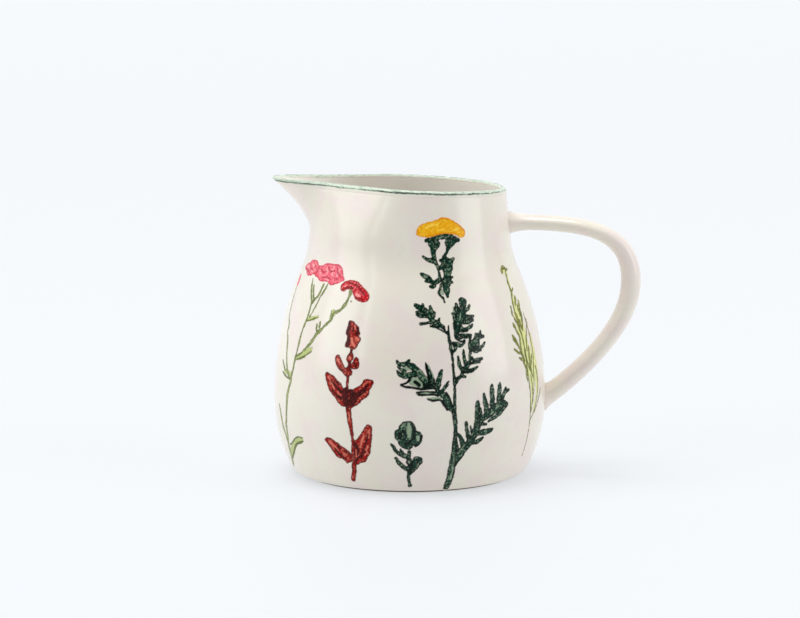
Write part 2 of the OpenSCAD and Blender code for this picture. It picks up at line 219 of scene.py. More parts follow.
glazeLook = {
    "creamThin": "E6DECB",       # where the clay shows through a little
    "creamThick": "EEE9DF",
    "blush": "EBDCD6",           # a faint pink cast in places
    "fleck": "D3C4AF",
    "cloudSize": 30.0,           # millimetres
    "blushSize": 21.0,
    "inside": "F8F3E9",          # painted light: a whiter cream on the inside wall and floor, standing in for the light that falls into the mouth
    "fleckSpacing": 5.0,
    "roughness": 0.16,
    "ripple": 9.0,
}


def newMaterial(name):
    material = bpy.data.materials.new(name)
    material.use_nodes = True
    material.node_tree.nodes.clear()
    return material, material.node_tree


# the cream glaze's colour, roughness and surface, read in metres on the object's own coordinates
def glazeParts(tree):
    place = addNode(tree, "ShaderNodeTexCoord").outputs["Object"]
    cloud = addNode(tree, "ShaderNodeTexNoise", inputs={"Vector": place,
        "Scale": 1000 / glazeLook["cloudSize"], "Detail": 3.0, "Roughness": 0.5})
    tone = addNode(tree, "ShaderNodeMix", {"data_type": "RGBA"},
        {0: cloud.outputs["Fac"], 6: linear(glazeLook["creamThin"]), 7: linear(glazeLook["creamThick"])})
    warm = addNode(tree, "ShaderNodeTexNoise", inputs={"Vector": place,
        "Scale": 1000 / glazeLook["blushSize"], "Detail": 4.0, "Roughness": 0.6, "Distortion": 0.6})
    warmMask = addNode(tree, "ShaderNodeMapRange", {"interpolation_type": "SMOOTHSTEP"},
        {0: warm.outputs["Fac"], 1: 0.42, 2: 0.66, 3: 0.0, 4: 0.8})
    blushed = addNode(tree, "ShaderNodeMix", {"data_type": "RGBA"},
        {0: warmMask.outputs[0], 6: tone.outputs[2], 7: linear(glazeLook["blush"])})
    spots = addNode(tree, "ShaderNodeTexVoronoi", {"feature": "F1"},
        {"Vector": place, "Scale": 1000 / glazeLook["fleckSpacing"], "Randomness": 1.0})
    spotMask = addNode(tree, "ShaderNodeMapRange", {"interpolation_type": "SMOOTHSTEP"},
        {0: spots.outputs["Distance"], 1: 0.035, 2: 0.075, 3: 0.55, 4: 0.0})
    colour = addNode(tree, "ShaderNodeMix", {"data_type": "RGBA"},
        {0: spotMask.outputs[0], 6: blushed.outputs[2], 7: linear(glazeLook["fleck"])})
    ripple = addNode(tree, "ShaderNodeTexNoise", inputs={"Vector": place,
        "Scale": 1000 / glazeLook["ripple"], "Detail": 2.0, "Roughness": 0.45})
    bump = addNode(tree, "ShaderNodeBump", inputs={"Strength": 0.12, "Distance": 0.0006,
        "Height": ripple.outputs["Fac"]})
    sheen = addNode(tree, "ShaderNodeMapRange", inputs={0: ripple.outputs["Fac"], 1: 0.3, 2: 0.7,
        3: glazeLook["roughness"] - 0.03, 4: glazeLook["roughness"] + 0.04})
    return colour.outputs[2], sheen.outputs[0], bump.outputs[0], place


# glazed stoneware: a creamy, slightly uneven clear gloss over pale clay
def creamGlazeMaterial():
    material, tree = newMaterial("creamGlazedStoneware")
    colour, rough, bump = glazeParts(tree)[:3]
    # painted light: the inside wall and floor take the whiter cream, standing in for the light that falls
    # into the mouth
    inside = addNode(tree, "ShaderNodeAttribute", {"attribute_name": "inside",
        "attribute_type": "GEOMETRY"})
    insideWithPaintedLight = addNode(tree, "ShaderNodeMix", {"data_type": "RGBA"},
        {0: inside.outputs["Fac"], 6: colour, 7: linear(glazeLook["inside"])})
    shader = addNode(tree, "ShaderNodeBsdfPrincipled", inputs={"Base Color": insideWithPaintedLight.outputs[2],
        "Roughness": rough, "IOR": 1.5, "Normal": bump})
    addNode(tree, "ShaderNodeOutputMaterial", inputs={"Surface": shader.outputs[0]})
    return material


clayLookWithPaintedShade = {
    # painted shade: both browns are darker than the bare clay, standing in for the shade under the pot's
    # rounded edge
    "dark": "4E3D30",
    "pale": "7C6450",
    "gritsPerMetre": 1400.0,
    "roughness": 0.88,
}


# unglazed stoneware: the matt brown ring on which the pot stood in the kiln, its browns darkened as painted
# shade for the hollow under the pot's edge
def bareClayWithPaintedShadeMaterial():
    material, tree = newMaterial("bareStonewareWithPaintedShade")
    place = addNode(tree, "ShaderNodeTexCoord").outputs["Object"]
    grit = addNode(tree, "ShaderNodeTexNoise", inputs={"Vector": place, "Scale": clayLookWithPaintedShade["gritsPerMetre"],
        "Detail": 4.0, "Roughness": 0.65})
    tone = addNode(tree, "ShaderNodeMix", {"data_type": "RGBA"},
        {0: grit.outputs["Fac"], 6: linear(clayLookWithPaintedShade["dark"]), 7: linear(clayLookWithPaintedShade["pale"])})
    bump = addNode(tree, "ShaderNodeBump", inputs={"Strength": 0.4, "Distance": 0.0002,
        "Height": grit.outputs["Fac"]})
    shader = addNode(tree, "ShaderNodeBsdfPrincipled", inputs={"Base Color": tone.outputs[2],
        "Roughness": clayLookWithPaintedShade["roughness"], "IOR": 1.5, "Normal": bump.outputs[0]})
    addNode(tree, "ShaderNodeOutputMaterial", inputs={"Surface": shader.outputs[0]})
    return material


creamGlaze = creamGlazeMaterial()
bareClayWithPaintedShade = bareClayWithPaintedShadeMaterial()

# body


def steps(start, end, count):
    return [start + (end - start) * i / count for i in range(count + 1)]


edgeZ = bodyShape["ringReveal"] + bodyShape["footRounding"]
edgeX = lowX + sqrt((lowR - bodyShape["footRounding"]) ** 2 - (bellyZ - edgeZ) ** 2)
edgeTurn = np.degrees(np.arctan2(edgeX - lowX, bellyZ - edgeZ))
seatR = edgeX - bodyShape["ringInset"]


def edgePoint(k):
    a = radians(-90 + k * edgeTurn)
    return (edgeX + bodyShape["footRounding"] * cos(a), edgeZ + bodyShape["footRounding"] * sin(a))


# over the lip from the outer wall: k runs from 0 to 1
def lipPoint(k, off=0.0):
    return (rimR - lipR + (lipR + off) * cos(pi * k), rimZ - lipR + (lipR + off) * sin(pi * k))


def innerRadius(z):
    thin = min(max((z - spoutZ) / (rimZ - lipR - spoutZ), 0), 1)
    return float(outerRadius(z)) - bodyShape["wall"] - (2 * lipR - bodyShape["wall"]) * thin


def makeBody():
    innerLow = bodyShape["insideFloor"] + bodyShape["floorRounding"]
    cornerX = innerRadius(innerLow) - bodyShape["floorRounding"]
    points = [(r, bodyShape["ringHeight"]) for r in steps(0, seatR, 8)]
    points += [(seatR, bodyShape["ringReveal"])]
    points += [edgePoint(k) for k in steps(0, 1, 8)]
    points += [(float(outerRadius(z)), z) for z in steps(edgePoint(1)[1], rimZ - lipR, 88)[1:-1]]
    points += [lipPoint(k) for k in steps(0, 1, 12)]
    points += [(innerRadius(z), z) for z in steps(rimZ - lipR, innerLow, 56)[1:]]
    points += [(cornerX + bodyShape["floorRounding"] * cos(radians(a)),
        innerLow - bodyShape["floorRounding"] * sin(radians(a))) for a in steps(0, 90, 10)[1:]]
    points += [(r, bodyShape["insideFloor"]) for r in steps(cornerX, 0, 8)[1:]]
    bm = bmesh.new()
    spinRound(bm, points, bodyShape["sides"])
    spots = allPoints(bm)
    r, z = np.hypot(spots[:, 0], spots[:, 1]), spots[:, 2]
    # marks the inside wall and floor, which the glaze paints a whiter cream as painted light
    inside = smooth((outerRadius(z) - bodyShape["wall"] * 0.4 - r) / 0.5)
    inside = inside * (z > bodyShape["ringHeight"] + 0.5)
    moveVerts(bm, shaped(spots))
    piece = finishPiece(bm, "thrownBody", creamGlaze, ["body"])
    piece.data.attributes.new("inside", "FLOAT", "POINT").data.foreach_set("value", inside)
    return piece


def makeFootRing():
    inner, outer, top = seatR - bodyShape["ringWidth"], seatR - 0.02, bodyShape["ringHeight"]
    points = [(inner, top), (inner, 0.7), (inner + 0.2, 0.2), (inner + 0.7, 0.0), (seatR - 0.5, 0.0),
        (seatR - 0.15, 0.15), (outer, 0.5), (outer, top), (inner, top)]
    bm = bmesh.new()
    spinRound(bm, points, bodyShape["sides"])
    return finishPiece(bm, "footRing", bareClayWithPaintedShade, ["foot_ring"])


makeBody()
makeFootRing()

# handle

handleShape = {
    "upperZ": 135.4,
    "lowerZ": 40.0,
    "reach": 45.8,
    "depth": 14.0,
    "thickness": 8.3,
    "swell": 2.5,
    # how far the slip runs along the handle and how far it stands out at the wall
    "upperTaper": (12.0, 1.9),
    "lowerTaper": (4.5, 1.0),
    "sides": 64,
    "rings": 110,
}


def handleCurve():
    topZ, lowZ = handleShape["upperZ"], handleShape["lowerZ"]
    outX = bellyR + handleShape["reach"]
    midZ = lowZ + (topZ - lowZ) * 0.66
    top, low = Vector((float(outerRadius(topZ)), topZ)), Vector((float(outerRadius(lowZ)), lowZ))
    upper = [top, Vector((top.x + (outX - top.x) * 0.645, topZ + 0.1)),
        Vector((outX, midZ + (topZ - midZ) * 0.864)), Vector((outX, midZ))]
    lower = [Vector((outX, midZ)), Vector((outX, lowZ + (midZ - lowZ) * 0.683)),
        Vector((low.x + (outX - low.x) * 0.607, lowZ + (midZ - lowZ) * 0.333)), low]
    return upper, lower


handleUpper, handleLower = handleCurve()


# the handle's middle, its direction and its half thickness: s is 0 at the upper joint and 2 at the lower
def handleAt(s):
    curve, t = (handleUpper, s) if s < 1 else (handleLower, s - 1)
    held = min(max(t, 0), 1)
    left = 1 - held
    middle = (left ** 3 * curve[0] + 3 * held * left ** 2 * curve[1] + 3 * held ** 2 * left * curve[2]
        + held ** 3 * curve[3])
    way = (left ** 2 * (curve[1] - curve[0]) + 2 * held * left * (curve[2] - curve[1])
        + held ** 2 * (curve[3] - curve[2])).normalized()
    middle = middle + way * (t - held) * 60
    fullness = float(np.interp(s, [0, 0.45, 1, 1.5, 2], [0, 0.1, 1, 0.6, 0.85]))
    return middle, way, (handleShape["thickness"] + handleShape["swell"] * fullness) / 2


def ringMatrix(s):
    middle, way, half = handleAt(s)
    across = Vector((0, 1, 0)) * handleShape["depth"] / 2
    over = Vector((-way.y, 0, way.x)) * half
    along = Vector((way.x, 0, way.y))
    m = Matrix((across, over, along)).transposed().to_4x4()
    m.translation = Vector((middle.x, 0, middle.y))
    return m


def makeHandle():
    # rings lie closer near both joints, where the slip fillet turns
    ends = 0.12
    stations = steps(-0.05, ends, 30) + steps(ends, 2 - ends, handleShape["rings"])[1:]
    stations += steps(2 - ends, 2.07, 34)[1:]
    bm = bmesh.new()
    made = bmesh.ops.create_circle(bm, cap_ends=False, radius=1.0, segments=handleShape["sides"])["verts"]
    bmesh.ops.transform(bm, matrix=ringMatrix(stations[0]), verts=made)
    rings = [(stations[0], made)]
    edges = bm.edges[:]
    for before, s in zip(stations, stations[1:]):
        grown = bmesh.ops.extrude_edge_only(bm, edges=edges)["geom"]
        made = [g for g in grown if isinstance(g, bmesh.types.BMVert)]
        edges = [g for g in grown if isinstance(g, bmesh.types.BMEdge)]
        bmesh.ops.transform(bm, matrix=ringMatrix(s) @ ringMatrix(before).inverted(), verts=made)
        rings.append((s, made))
    # the slip smoothed out round both joints
    for s, verts in rings:
        back = ringMatrix(s).inverted()
        for vert in verts:
            clear = Vector(vert.co[:2]).length - float(outerRadius(vert.co.z))
            along, out = handleShape["upperTaper" if s < 1 else "lowerTaper"]
            grow = out * (1 - min(max(clear / along, 0), 1)) ** 2
            local = back @ vert.co
            away = ringMatrix(s).to_3x3() @ Vector((local.x / (handleShape["depth"] / 2) ** 2,
                local.y / handleAt(s)[2] ** 2, 0))
            vert.co += away.normalized() * grow
    bmesh.ops.holes_fill(bm, edges=bm.edges[:], sides=0)
    bmesh.ops.recalc_face_normals(bm, faces=bm.faces[:])
    return finishPiece(bm, "loopedHandle", creamGlaze,
        ["handle", "upper_handle_joint", "lower_handle_joint"])


makeHandle()

# painted plants: [across, height, width] strokes and [across, height] outlines, flat at the plant's
# place, in millimetres. "shapes" are full colour with a dark outline, "washes" are thin colour, "lines"
# dark lines and "bare" the places that the colour missed.

tansyFlower = {
    "shapes": [
        [(-13.6, 135.4), (-12.6, 138), (-8.5, 140.3), (-4, 141.5), (0, 143), (3, 142.7), (7.5, 140.5),
            (11, 138), (13, 135.4),
         (12.4, 133), (10.5, 132.5), (8, 133.6), (4, 134.6), (0, 134.4), (-4, 133.6), (-7, 132.8),
             (-10, 133), (-13, 133.8)],
    ],
    "lines": [
        [(-9, 133.2, 0.7), (-4, 134, 0.9), (1, 134.9, 0.9), (6, 134.6, 0.8)],
            [(6, 141, 0.4), (9.5, 138.8, 0.8), (12, 136, 0.5)],
        [(-3, 141.4, 0.4), (0, 142.4, 0.6), (3, 142, 0.4)],
    ],
    "bare": [
        [(-8.6, 137.6, 1), (-6, 139, 1.6), (-4, 139.6, 0.8)], [(-3, 139.2, 1.2), (-1.2, 140.4, 0.8)],
            [(6.5, 136.4, 0.6), (8.5, 137, 1.6)],
        [(-2.2, 136.4, 1), (1, 137, 0.8)],
    ],
}

tansyLeaves = {
    "shapes": [
        # calyx and the two stalks under the flower
        [(-8.6, 131.2, 1.6), (-5, 132, 2), (0, 133.2, 2.4), (5, 132.8, 2.4), (8.8, 131, 1.4)],
        [(-6.5, 130.6, 3.2), (-5, 128.5, 3.6), (-5.1, 125.5, 2.3), (-4.9, 122, 1.9), (-4.2, 120, 1.6),
            (-3.2, 117.5, 1.3), (-2.8, 114, 0.9), (-2.6, 111.5, 1.6)],
        [(-3.5, 130.8, 2.4), (-2.5, 129, 1.8), (-4, 127.5, 2)],
        [(6.3, 131, 2.8), (4.2, 129.3, 3.4), (3, 127.3, 1.9), (1.9, 125, 1.1), (1, 123, 1.4)],
            [(3, 131.2, 2.8), (2.8, 129, 2.6)],
        # leafy middle
        [(0.6, 122.6, 1.6), (1.2, 120.5, 4.4), (2.2, 118.5, 6.2), (1.8, 116.4, 4.8), (1.4, 113, 3.4),
            (0.8, 110.5, 4.4), (0, 108, 3.6), (0.2, 105.5, 2.6), (0.2, 103.2, 1.1)],
        [(3.4, 119.5, 3.6), (5.4, 121.5, 1.3)], [(0, 120, 3), (-1.3, 121, 1.4)],
            [(-0.6, 118, 2.6), (-2.2, 116.9, 1.2)],
        [(1.8, 111.6, 2.4), (4.2, 112.5, 0.7)], [(2, 110, 2.4), (3.6, 110.1, 0.9)],
            [(-2.6, 111.4, 1.6), (-0.4, 109.6, 2.6)],
        [(-2.6, 109, 1.1), (-3.4, 107, 0.8), (-4.3, 105, 0.8), (-3.4, 103.4, 0.8), (-2.2, 102, 0.7),
            (-1.8, 100.2, 0.45)],
        [(-10.6, 123.1, 0.7), (-8.6, 121.8, 1.2), (-6.6, 121, 2), (-4.6, 120.4, 1.6)],
        [(-12, 114.3, 1.6), (-10.6, 113.2, 2.2), (-9, 112.4, 2.2), (-8, 111, 2.4), (-6, 110.2, 1.8),
            (-4, 110.8, 2.2), (-2.6, 111.4, 1.6)],
        [(-8.2, 113, 1), (-7.6, 111.5, 1.4)], [(-10.4, 111, 1), (-9.4, 110.8, 1.4)],
            [(-8.6, 108.2, 1), (-7, 108, 1.2), (-5.6, 109.4, 1.2)],
        # stem
        [(-1, 88.5, 0.4), (-1.2, 86, 0.6), (-1.4, 84, 1), (-1, 80, 1.1), (-0.8, 77, 1.3), (-0.2, 74.6, 1.1),
            (0, 70, 0.9), (0.1, 66, 0.9), (0.4, 62, 1.2),
         (0.5, 58, 1.1), (0.3, 54, 1.1), (0.2, 50, 1.2), (0.2, 46, 1.4), (0.1, 42, 1.9), (0.6, 38, 1.8),
             (0.8, 34, 1.7), (0.6, 28, 2.3), (0.4, 22, 2.9),
         (0.2, 16, 3.2), (0, 11, 3.6), (-0.2, 8, 3.4), (-0.8, 5, 3), (-1.3, 3.4, 2.4)],
        # middle left leaf
        [(-1.4, 85.5, 0.5), (-3, 85.6, 0.5), (-3.8, 87.6, 1.4), (-5.5, 89, 2), (-7, 90, 2.2),
            (-9, 91.4, 2.4), (-10, 93.5, 3.2), (-11.6, 95.4, 3.4),
         (-13.5, 96.8, 3.2), (-15.6, 98.2, 2.4), (-17, 99, 1.4)],
        [(-9.6, 95.5, 2.6), (-9.7, 98.4, 0.9)], [(-8.6, 93.6, 2.2), (-8, 95, 1.2)],
            [(-6.2, 90.8, 1.2), (-5.4, 92.4, 0.4)],
        [(-13.6, 96.5, 2), (-13.4, 99.2, 1)], [(-13, 95, 2.2), (-16.8, 95.8, 1)],
            [(-12.4, 93.6, 1.6), (-15.4, 93.6, 1.1), (-16.8, 94.6, 0.7)],
        [(-9.6, 90.4, 1.2), (-12.5, 90.2, 0.9), (-15.3, 89.8, 1.1)],
            [(-4.6, 88.4, 1.6), (-8.6, 88.9, 1), (-9.6, 88.6, 0.6)],
        # middle right feather
        [(7.4, 100.6, 2.6), (8.2, 99.6, 4), (8, 98, 3.4)],
        [(8.2, 98, 2), (8, 96, 2), (6.8, 94.5, 4.4), (6, 92.5, 5.2), (5, 90.4, 3.8), (4.2, 88.4, 3),
            (3.4, 86, 2.4), (3, 83.4, 2.2), (3.4, 81.4, 1)],
        [(4.4, 99, 1), (4.4, 97.6, 1.6), (5.4, 96, 2.4)], [(3.6, 97, 1.2), (4.6, 95.6, 2)],
        [(1.9, 94.4, 0.8), (2.8, 93.4, 1.6), (2.6, 91, 1.2), (2.4, 88.6, 1.1), (2.2, 86, 0.8),
            (2.2, 84, 0.8)],
        [(8.4, 95.6, 1.6), (10.4, 96.2, 1.4), (11.6, 97.8, 1.1)],
            [(8, 92.6, 2.4), (10.6, 92.2, 2.2), (13.2, 92.6, 0.9)], [(10.6, 92.2, 1.4), (13, 90.6, 0.9)],
        [(7, 89.8, 1.8), (10, 89.7, 1.6), (12.6, 90.4, 1.1)], [(5.6, 88, 1.6), (6.8, 86.4, 1.3),
            (9.4, 86.6, 1.4), (11.6, 87.6, 1.2), (12.4, 88.4, 0.7)],
        [(4.6, 85.6, 1.2), (7, 85.4, 0.9), (9.6, 85.8, 0.8)], [(3.6, 84, 1), (7, 83.4, 1),
            (11.2, 83.3, 0.7)], [(4, 82, 0.9), (7.4, 82.2, 0.8), (11, 82, 0.7)],
        [(0.9, 80, 0.8), (2.2, 79.4, 1.8), (4, 78.6, 1.8), (5.6, 78.4, 1.2), (7.2, 80.6, 0.8)],
            [(3.6, 81, 0.6), (5.4, 80.2, 0.7), (7, 80.8, 0.7)],
        [(0.6, 79.6, 0.9), (1.8, 77.6, 1.6), (1.4, 76.2, 1.2), (0.2, 75, 0.8)],
        # leaf on the right of the middle
        [(10.8, 83, 0.8), (10.2, 81, 1), (9.9, 78, 0.9), (10.1, 75, 1.2), (9.6, 73, 1.4), (9.8, 70.6, 1.2),
            (8.8, 69.4, 1.2)],
        [(11.4, 79.6, 2), (12.2, 78, 3.2), (13.2, 78.4, 4.2), (14, 80.4, 3.6), (14.8, 82, 3),
            (16.2, 82.2, 2.6), (18.2, 82, 1.2)],
        [(14.2, 81.6, 1.8), (14, 83.6, 0.9)], [(16.4, 82.6, 1.4), (16.9, 84.8, 0.6)],
            [(13.4, 76.4, 2.2), (15.6, 76.2, 1.4), (17.8, 77.6, 1.1), (18.7, 78.6, 0.8)],
        [(12, 76, 2.4), (13.2, 74.8, 1.4), (16, 75.2, 1)],
        [(9.2, 69.4, 2), (7.6, 68.2, 2.6), (7, 67, 2), (5.4, 66.8, 1), (4.9, 65.4, 0.9), (4.8, 63.6, 1)],
        [(3.1, 72.8, 0.7), (3.2, 70.6, 1.3), (3.6, 68.6, 1.6), (4.4, 66.6, 1.3)],
            [(6.1, 76.2, 0.5), (6.2, 74, 1.2), (6.5, 71.4, 1.6), (6.8, 69, 1.8)],
        [(10.6, 72, 1), (11.6, 70.4, 1.2), (14, 70.6, 1.4), (16.6, 70.8, 1)],
            [(10, 69, 1), (12.6, 69.4, 1.3), (15, 69.2, 0.9)],
        [(5.6, 65.6, 1.2), (9, 65.4, 1.3), (11.6, 66, 1.2), (13.8, 66.8, 0.6)],
            [(5.4, 64.8, 0.7), (9.6, 64.6, 0.8), (11.4, 65.2, 0.6)],
        [(4.8, 64, 0.9), (4.2, 62.8, 0.8), (6.4, 62.4, 0.8)], [(4.4, 63, 0.9), (2.2, 61.6, 1.4),
            (1.6, 60, 1.2), (0.9, 58.8, 0.8)],
        # big left leaf
        [(-28.2, 71.2, 0.9), (-27.2, 69.6, 1.6), (-25.4, 69.6, 2), (-23.6, 70.2, 1.8), (-22.4, 71.6, 0.8)],
        [(-22.6, 69.4, 2.4), (-20.6, 68.4, 2.8), (-19, 66.4, 3.2), (-17.2, 64.2, 3.4), (-15.4, 62, 3.4),
            (-13.6, 60.2, 3.6), (-11.8, 59.4, 3.4), (-10.4, 58, 2.6)],
        [(-27.6, 68.2, 1.2), (-26.2, 66.8, 1.4), (-25, 66, 1.6)],
            [(-28.3, 66.2, 0.6), (-27.2, 64.6, 1.6), (-25.4, 63.8, 2.4), (-22.6, 64.2, 2.6),
            (-20.4, 64.6, 2.8)],
        [(-12.9, 66, 1.6), (-12.4, 62.5, 2.4), (-11.6, 60, 2.4)],
            [(-6.2, 66.4, 0.6), (-7, 64.4, 1.9), (-7.6, 62, 2.3), (-8.2, 59.6, 2.4), (-8.8, 57.6, 2.2)],
        [(-2.8, 60.4, 0.6), (-4, 58.4, 1.3), (-5.6, 56.6, 1.5), (-7, 55.2, 1.5)],
        [(-9.4, 57.6, 1.6), (-8.4, 55.6, 2), (-6.6, 54, 2.8), (-4.8, 52.8, 2.6), (-3.8, 50.6, 3.8),
            (-3, 48.4, 3.2), (-1.8, 46.6, 2.4), (-0.6, 45, 1.4), (-0.4, 42.6, 1.2)],
        # big right leaf
        [(1.6, 15.6, 1.2), (2.2, 18, 2.2), (3.2, 20.4, 3.6), (4.6, 22.8, 4), (6.2, 25, 3.6),
            (8.4, 27.4, 3.6), (10.4, 30, 3.4), (12, 33, 3.4), (13.2, 36.6, 3.6),
         (15, 39.2, 3.2), (18, 41, 3.4), (21.4, 43, 4.2), (25, 45, 4.6), (28.4, 46.4, 3.6),
             (31.6, 46, 1.4)],
        [(1.6, 33.4, 0.8), (3.2, 31.4, 1.8), (4.6, 29, 2.2), (5.4, 26.6, 2.6)],
            [(1, 32, 0.9), (1.6, 28, 1), (2.4, 24, 1.2)],
        [(6.6, 38.8, 1), (6.9, 36, 1.6), (7.4, 33, 1.8), (8.4, 30, 2)],
            [(9, 36.4, 0.5), (9.8, 33.6, 0.8), (10.2, 31.6, 1)],
        [(13.4, 49, 1.4), (13.2, 46.6, 2.4), (13, 43.6, 2.4), (12.9, 40.4, 2.4), (12.6, 37, 2.8)],
            [(14.8, 45.4, 1), (15.2, 42.6, 1.1), (14.6, 40, 1.4)],
        [(17.1, 52.8, 0.9), (17.4, 50.2, 2), (18, 47.4, 2.5), (18.4, 44.6, 2.6), (18.4, 42, 2.8)],
            [(22, 56.4, 1.5), (22, 53.4, 2.5), (22.1, 50, 2.5), (22, 46.6, 3)],
        [(27, 56.6, 1.6), (26.7, 53.8, 2.3), (26.4, 51, 2.4), (26.6, 47.8, 3.4)],
            [(30.7, 54.4, 1), (30.6, 52.8, 2), (29.4, 51, 1.8), (28.4, 49, 1.6)],
        [(32.8, 53, 0.9), (31, 52.4, 1.6)], [(14, 32.4, 2.4), (17, 32.6, 3), (20, 33, 2.4),
            (22.2, 33.8, 1)],
        [(9, 28.4, 2.6), (12.6, 27.8, 2.4), (15, 28.8, 1.8), (16.6, 29.8, 0.7)],
            [(14, 37.4, 1.6), (16.4, 37, 1.6), (18.2, 36.8, 0.9)],
        [(19.8, 38.2, 0.7), (23, 39.6, 1.4), (26, 41.4, 2.2), (29, 43.8, 2), (31.8, 45.8, 1.2)],
    ],
    "washes": [
        [(-21.4, 61, 4), (-18.6, 60.4, 5), (-16, 60, 5), (-13, 59, 3)],
            [(-13.6, 69, 1.4), (-12.8, 66, 2.6), (-11.8, 63, 2.8), (-11, 60.5, 2.8)],
        [(-19, 54.8, 1.6), (-14, 54.8, 2.4), (-9, 54.4, 2)], [(-13.8, 52.3, 0.6), (-11, 51.8, 1.8),
            (-7.6, 51.8, 2)], [(-25, 67.6, 2), (-22, 67.6, 2.4)],
        [(-2.4, 104.5, 1.6), (-2.8, 106.6, 1.2)], [(3.4, 97, 2), (3, 90, 2), (2.6, 85, 1.6)],
    ],
    "lines": [
        [(-26.8, 59.2, 0.8), (-24, 60.2, 0.9), (-22.6, 62, 1)], [(-26.8, 58.9, 0.9), (-24, 58, 1.1),
            (-20.6, 57.6, 1), (-17, 57, 1.2), (-13.4, 57.4, 1.4), (-10.4, 57.6, 1.4)],
        [(-19.8, 60.6, 1.6), (-18, 59, 1.4)], [(-15, 58.8, 2.2), (-12, 58.6, 2.2)],
            [(-14.3, 70.4, 0.5), (-13.9, 68, 1.2), (-13.5, 65.5, 1.2), (-12.9, 62.5, 1.2),
            (-12.4, 60.6, 1.4)],
        [(-10.7, 62.8, 0.4), (-10.2, 61.4, 0.5), (-10.4, 59.6, 0.7)],
            [(-19.2, 55.2, 0.7), (-15, 55.7, 0.5), (-10, 55.2, 0.8)],
        [(-18.4, 54, 0.9), (-15, 53.9, 0.8), (-11, 54, 0.8), (-8.6, 53.4, 1.2)],
            [(-13.4, 51.6, 0.9), (-11, 50.9, 0.9), (-8, 51.2, 0.8), (-6.4, 50.4, 1.2)],
        [(-6.4, 50.4, 1.2), (-4.8, 47.6, 1.2), (-3.6, 46, 1)], [(-4.2, 55, 0.5), (-3.2, 53, 1),
            (-2, 50.6, 0.9), (-1.2, 47.4, 0.9)],
        [(-1.6, 84.2, 0.5), (-3.5, 85.4, 0.6), (-6, 87, 0.6), (-8.5, 88, 0.7), (-10.6, 88.6, 0.6)],
            [(-3.4, 88, 1), (-3.2, 86.6, 0.6)],
        [(2.2, 61.8, 0.7), (0.8, 62, 0.6)],
    ],
    "bare": [
        [(22.5, 42.8, 0.9), (20.8, 41.6, 0.5)], [(20.5, 39.6, 0.7), (19.4, 39.2, 0.4)],
            [(16.8, 43, 0.7), (16.2, 41.4, 0.5)], [(13.8, 37, 0.7), (13.2, 35.6, 0.5)],
        [(24.4, 44.6, 0.6), (26.4, 45.6, 0.4)], [(-24.8, 65.2, 0.8), (-22.4, 65.6, 0.5)],
            [(0.4, 8, 0.7), (0.8, 14, 1), (0.8, 20, 0.7)], [(-17.4, 66.6, 0.5), (-14.6, 63.2, 0.7),
            (-13.4, 61, 0.5)],
        [(4.4, 24.6, 0.6), (6.4, 27.2, 0.6)], [(6.4, 94.6, 0.6), (5.6, 91.6, 0.7)],
    ],
}

budPlant = {
    "shapes": [
        [(-3, 39.4), (-1.4, 40.2), (0.6, 40.3), (2.5, 39.3), (3.6, 37.4), (4.4, 35.5), (6.3, 34.4),
            (7.5, 32.5), (6.9, 30), (6, 28.3), (4, 27), (2.8, 28), (1.4, 25.8),
         (-1, 25.6), (-4, 27.3), (-5.2, 29.8), (-6.5, 32), (-6.5, 35), (-4.8, 36.2), (-4.2, 38)],
        [(0.6, 24, 1.6), (0.6, 21, 1.7)], [(1, 16, 2.4), (1.4, 14.5, 3.2), (0.5, 11.5, 1.6),
            (0.4, 9.5, 1.3), (0.8, 7, 1.1), (1, 5, 1.5)],
        [(-8.4, 28, 0.9), (-7.6, 27, 1.2), (-6.4, 25, 1.5), (-4.8, 23.4, 2), (-3, 22.6, 2.6),
            (-1, 21.6, 2.4), (0.4, 20.6, 2)], [(-3.8, 25.4, 0.8), (-3, 23.5, 2)],
        [(-6.3, 20.6, 1), (-5.2, 18.8, 1.6), (-3.6, 17, 1.8), (-2, 15.6, 2), (0, 14.4, 2.2),
            (1.2, 13.6, 2)],
        [(1.8, 13.6, 2.2), (3, 15, 2.4), (3.4, 17, 2.2), (3.6, 19, 2.2), (4.6, 20.8, 1.6), (6.2, 20, 1.8),
            (6.4, 18.2, 1.6), (5, 16.8, 1.6), (4.2, 15.2, 1.6)],
        [(0.6, 20.6, 1), (-0.4, 18.6, 0.7), (0.6, 16.4, 1)], [(0.8, 20.6, 0.9), (2, 18.6, 0.7),
            (1.2, 16.4, 1)],
    ],
    "washes": [[(5.2, 19.2, 1.6), (5, 18.4, 1.4)], [(0.7, 19.4, 1.4), (0.7, 17.4, 1.2)]],
    "lines": [
        [(-4, 34, 1.8), (-4.2, 32, 2)], [(-2.5, 35.5, 0.8), (-1.6, 34.2, 1), (-0.8, 33, 0.7)],
            [(1.8, 38.8, 0.6), (3, 36, 0.9), (3.4, 34.4, 1), (3, 31, 1)],
        [(2.4, 31, 0.9), (0.8, 29.5, 1.1), (-1, 28, 1.2)], [(6.8, 32.6, 0.9), (6.6, 31, 0.6)],
            [(3.6, 27.8, 0.8), (4.4, 27.6, 0.6)],
        [(-2.6, 30.4, 0.8), (-1.4, 31.6, 0.5)], [(1.2, 14, 1.2), (1, 12.6, 0.9)],
    ],
    "bare": [[(0.9, 38.4, 2), (0.7, 35.5, 2.6), (0.6, 32.4, 1.6)], [(5.3, 31.9, 2), (5.2, 30.4, 1.4)],
        [(-3.2, 37.4, 0.7), (-1.8, 38.4, 0.8)]],
}

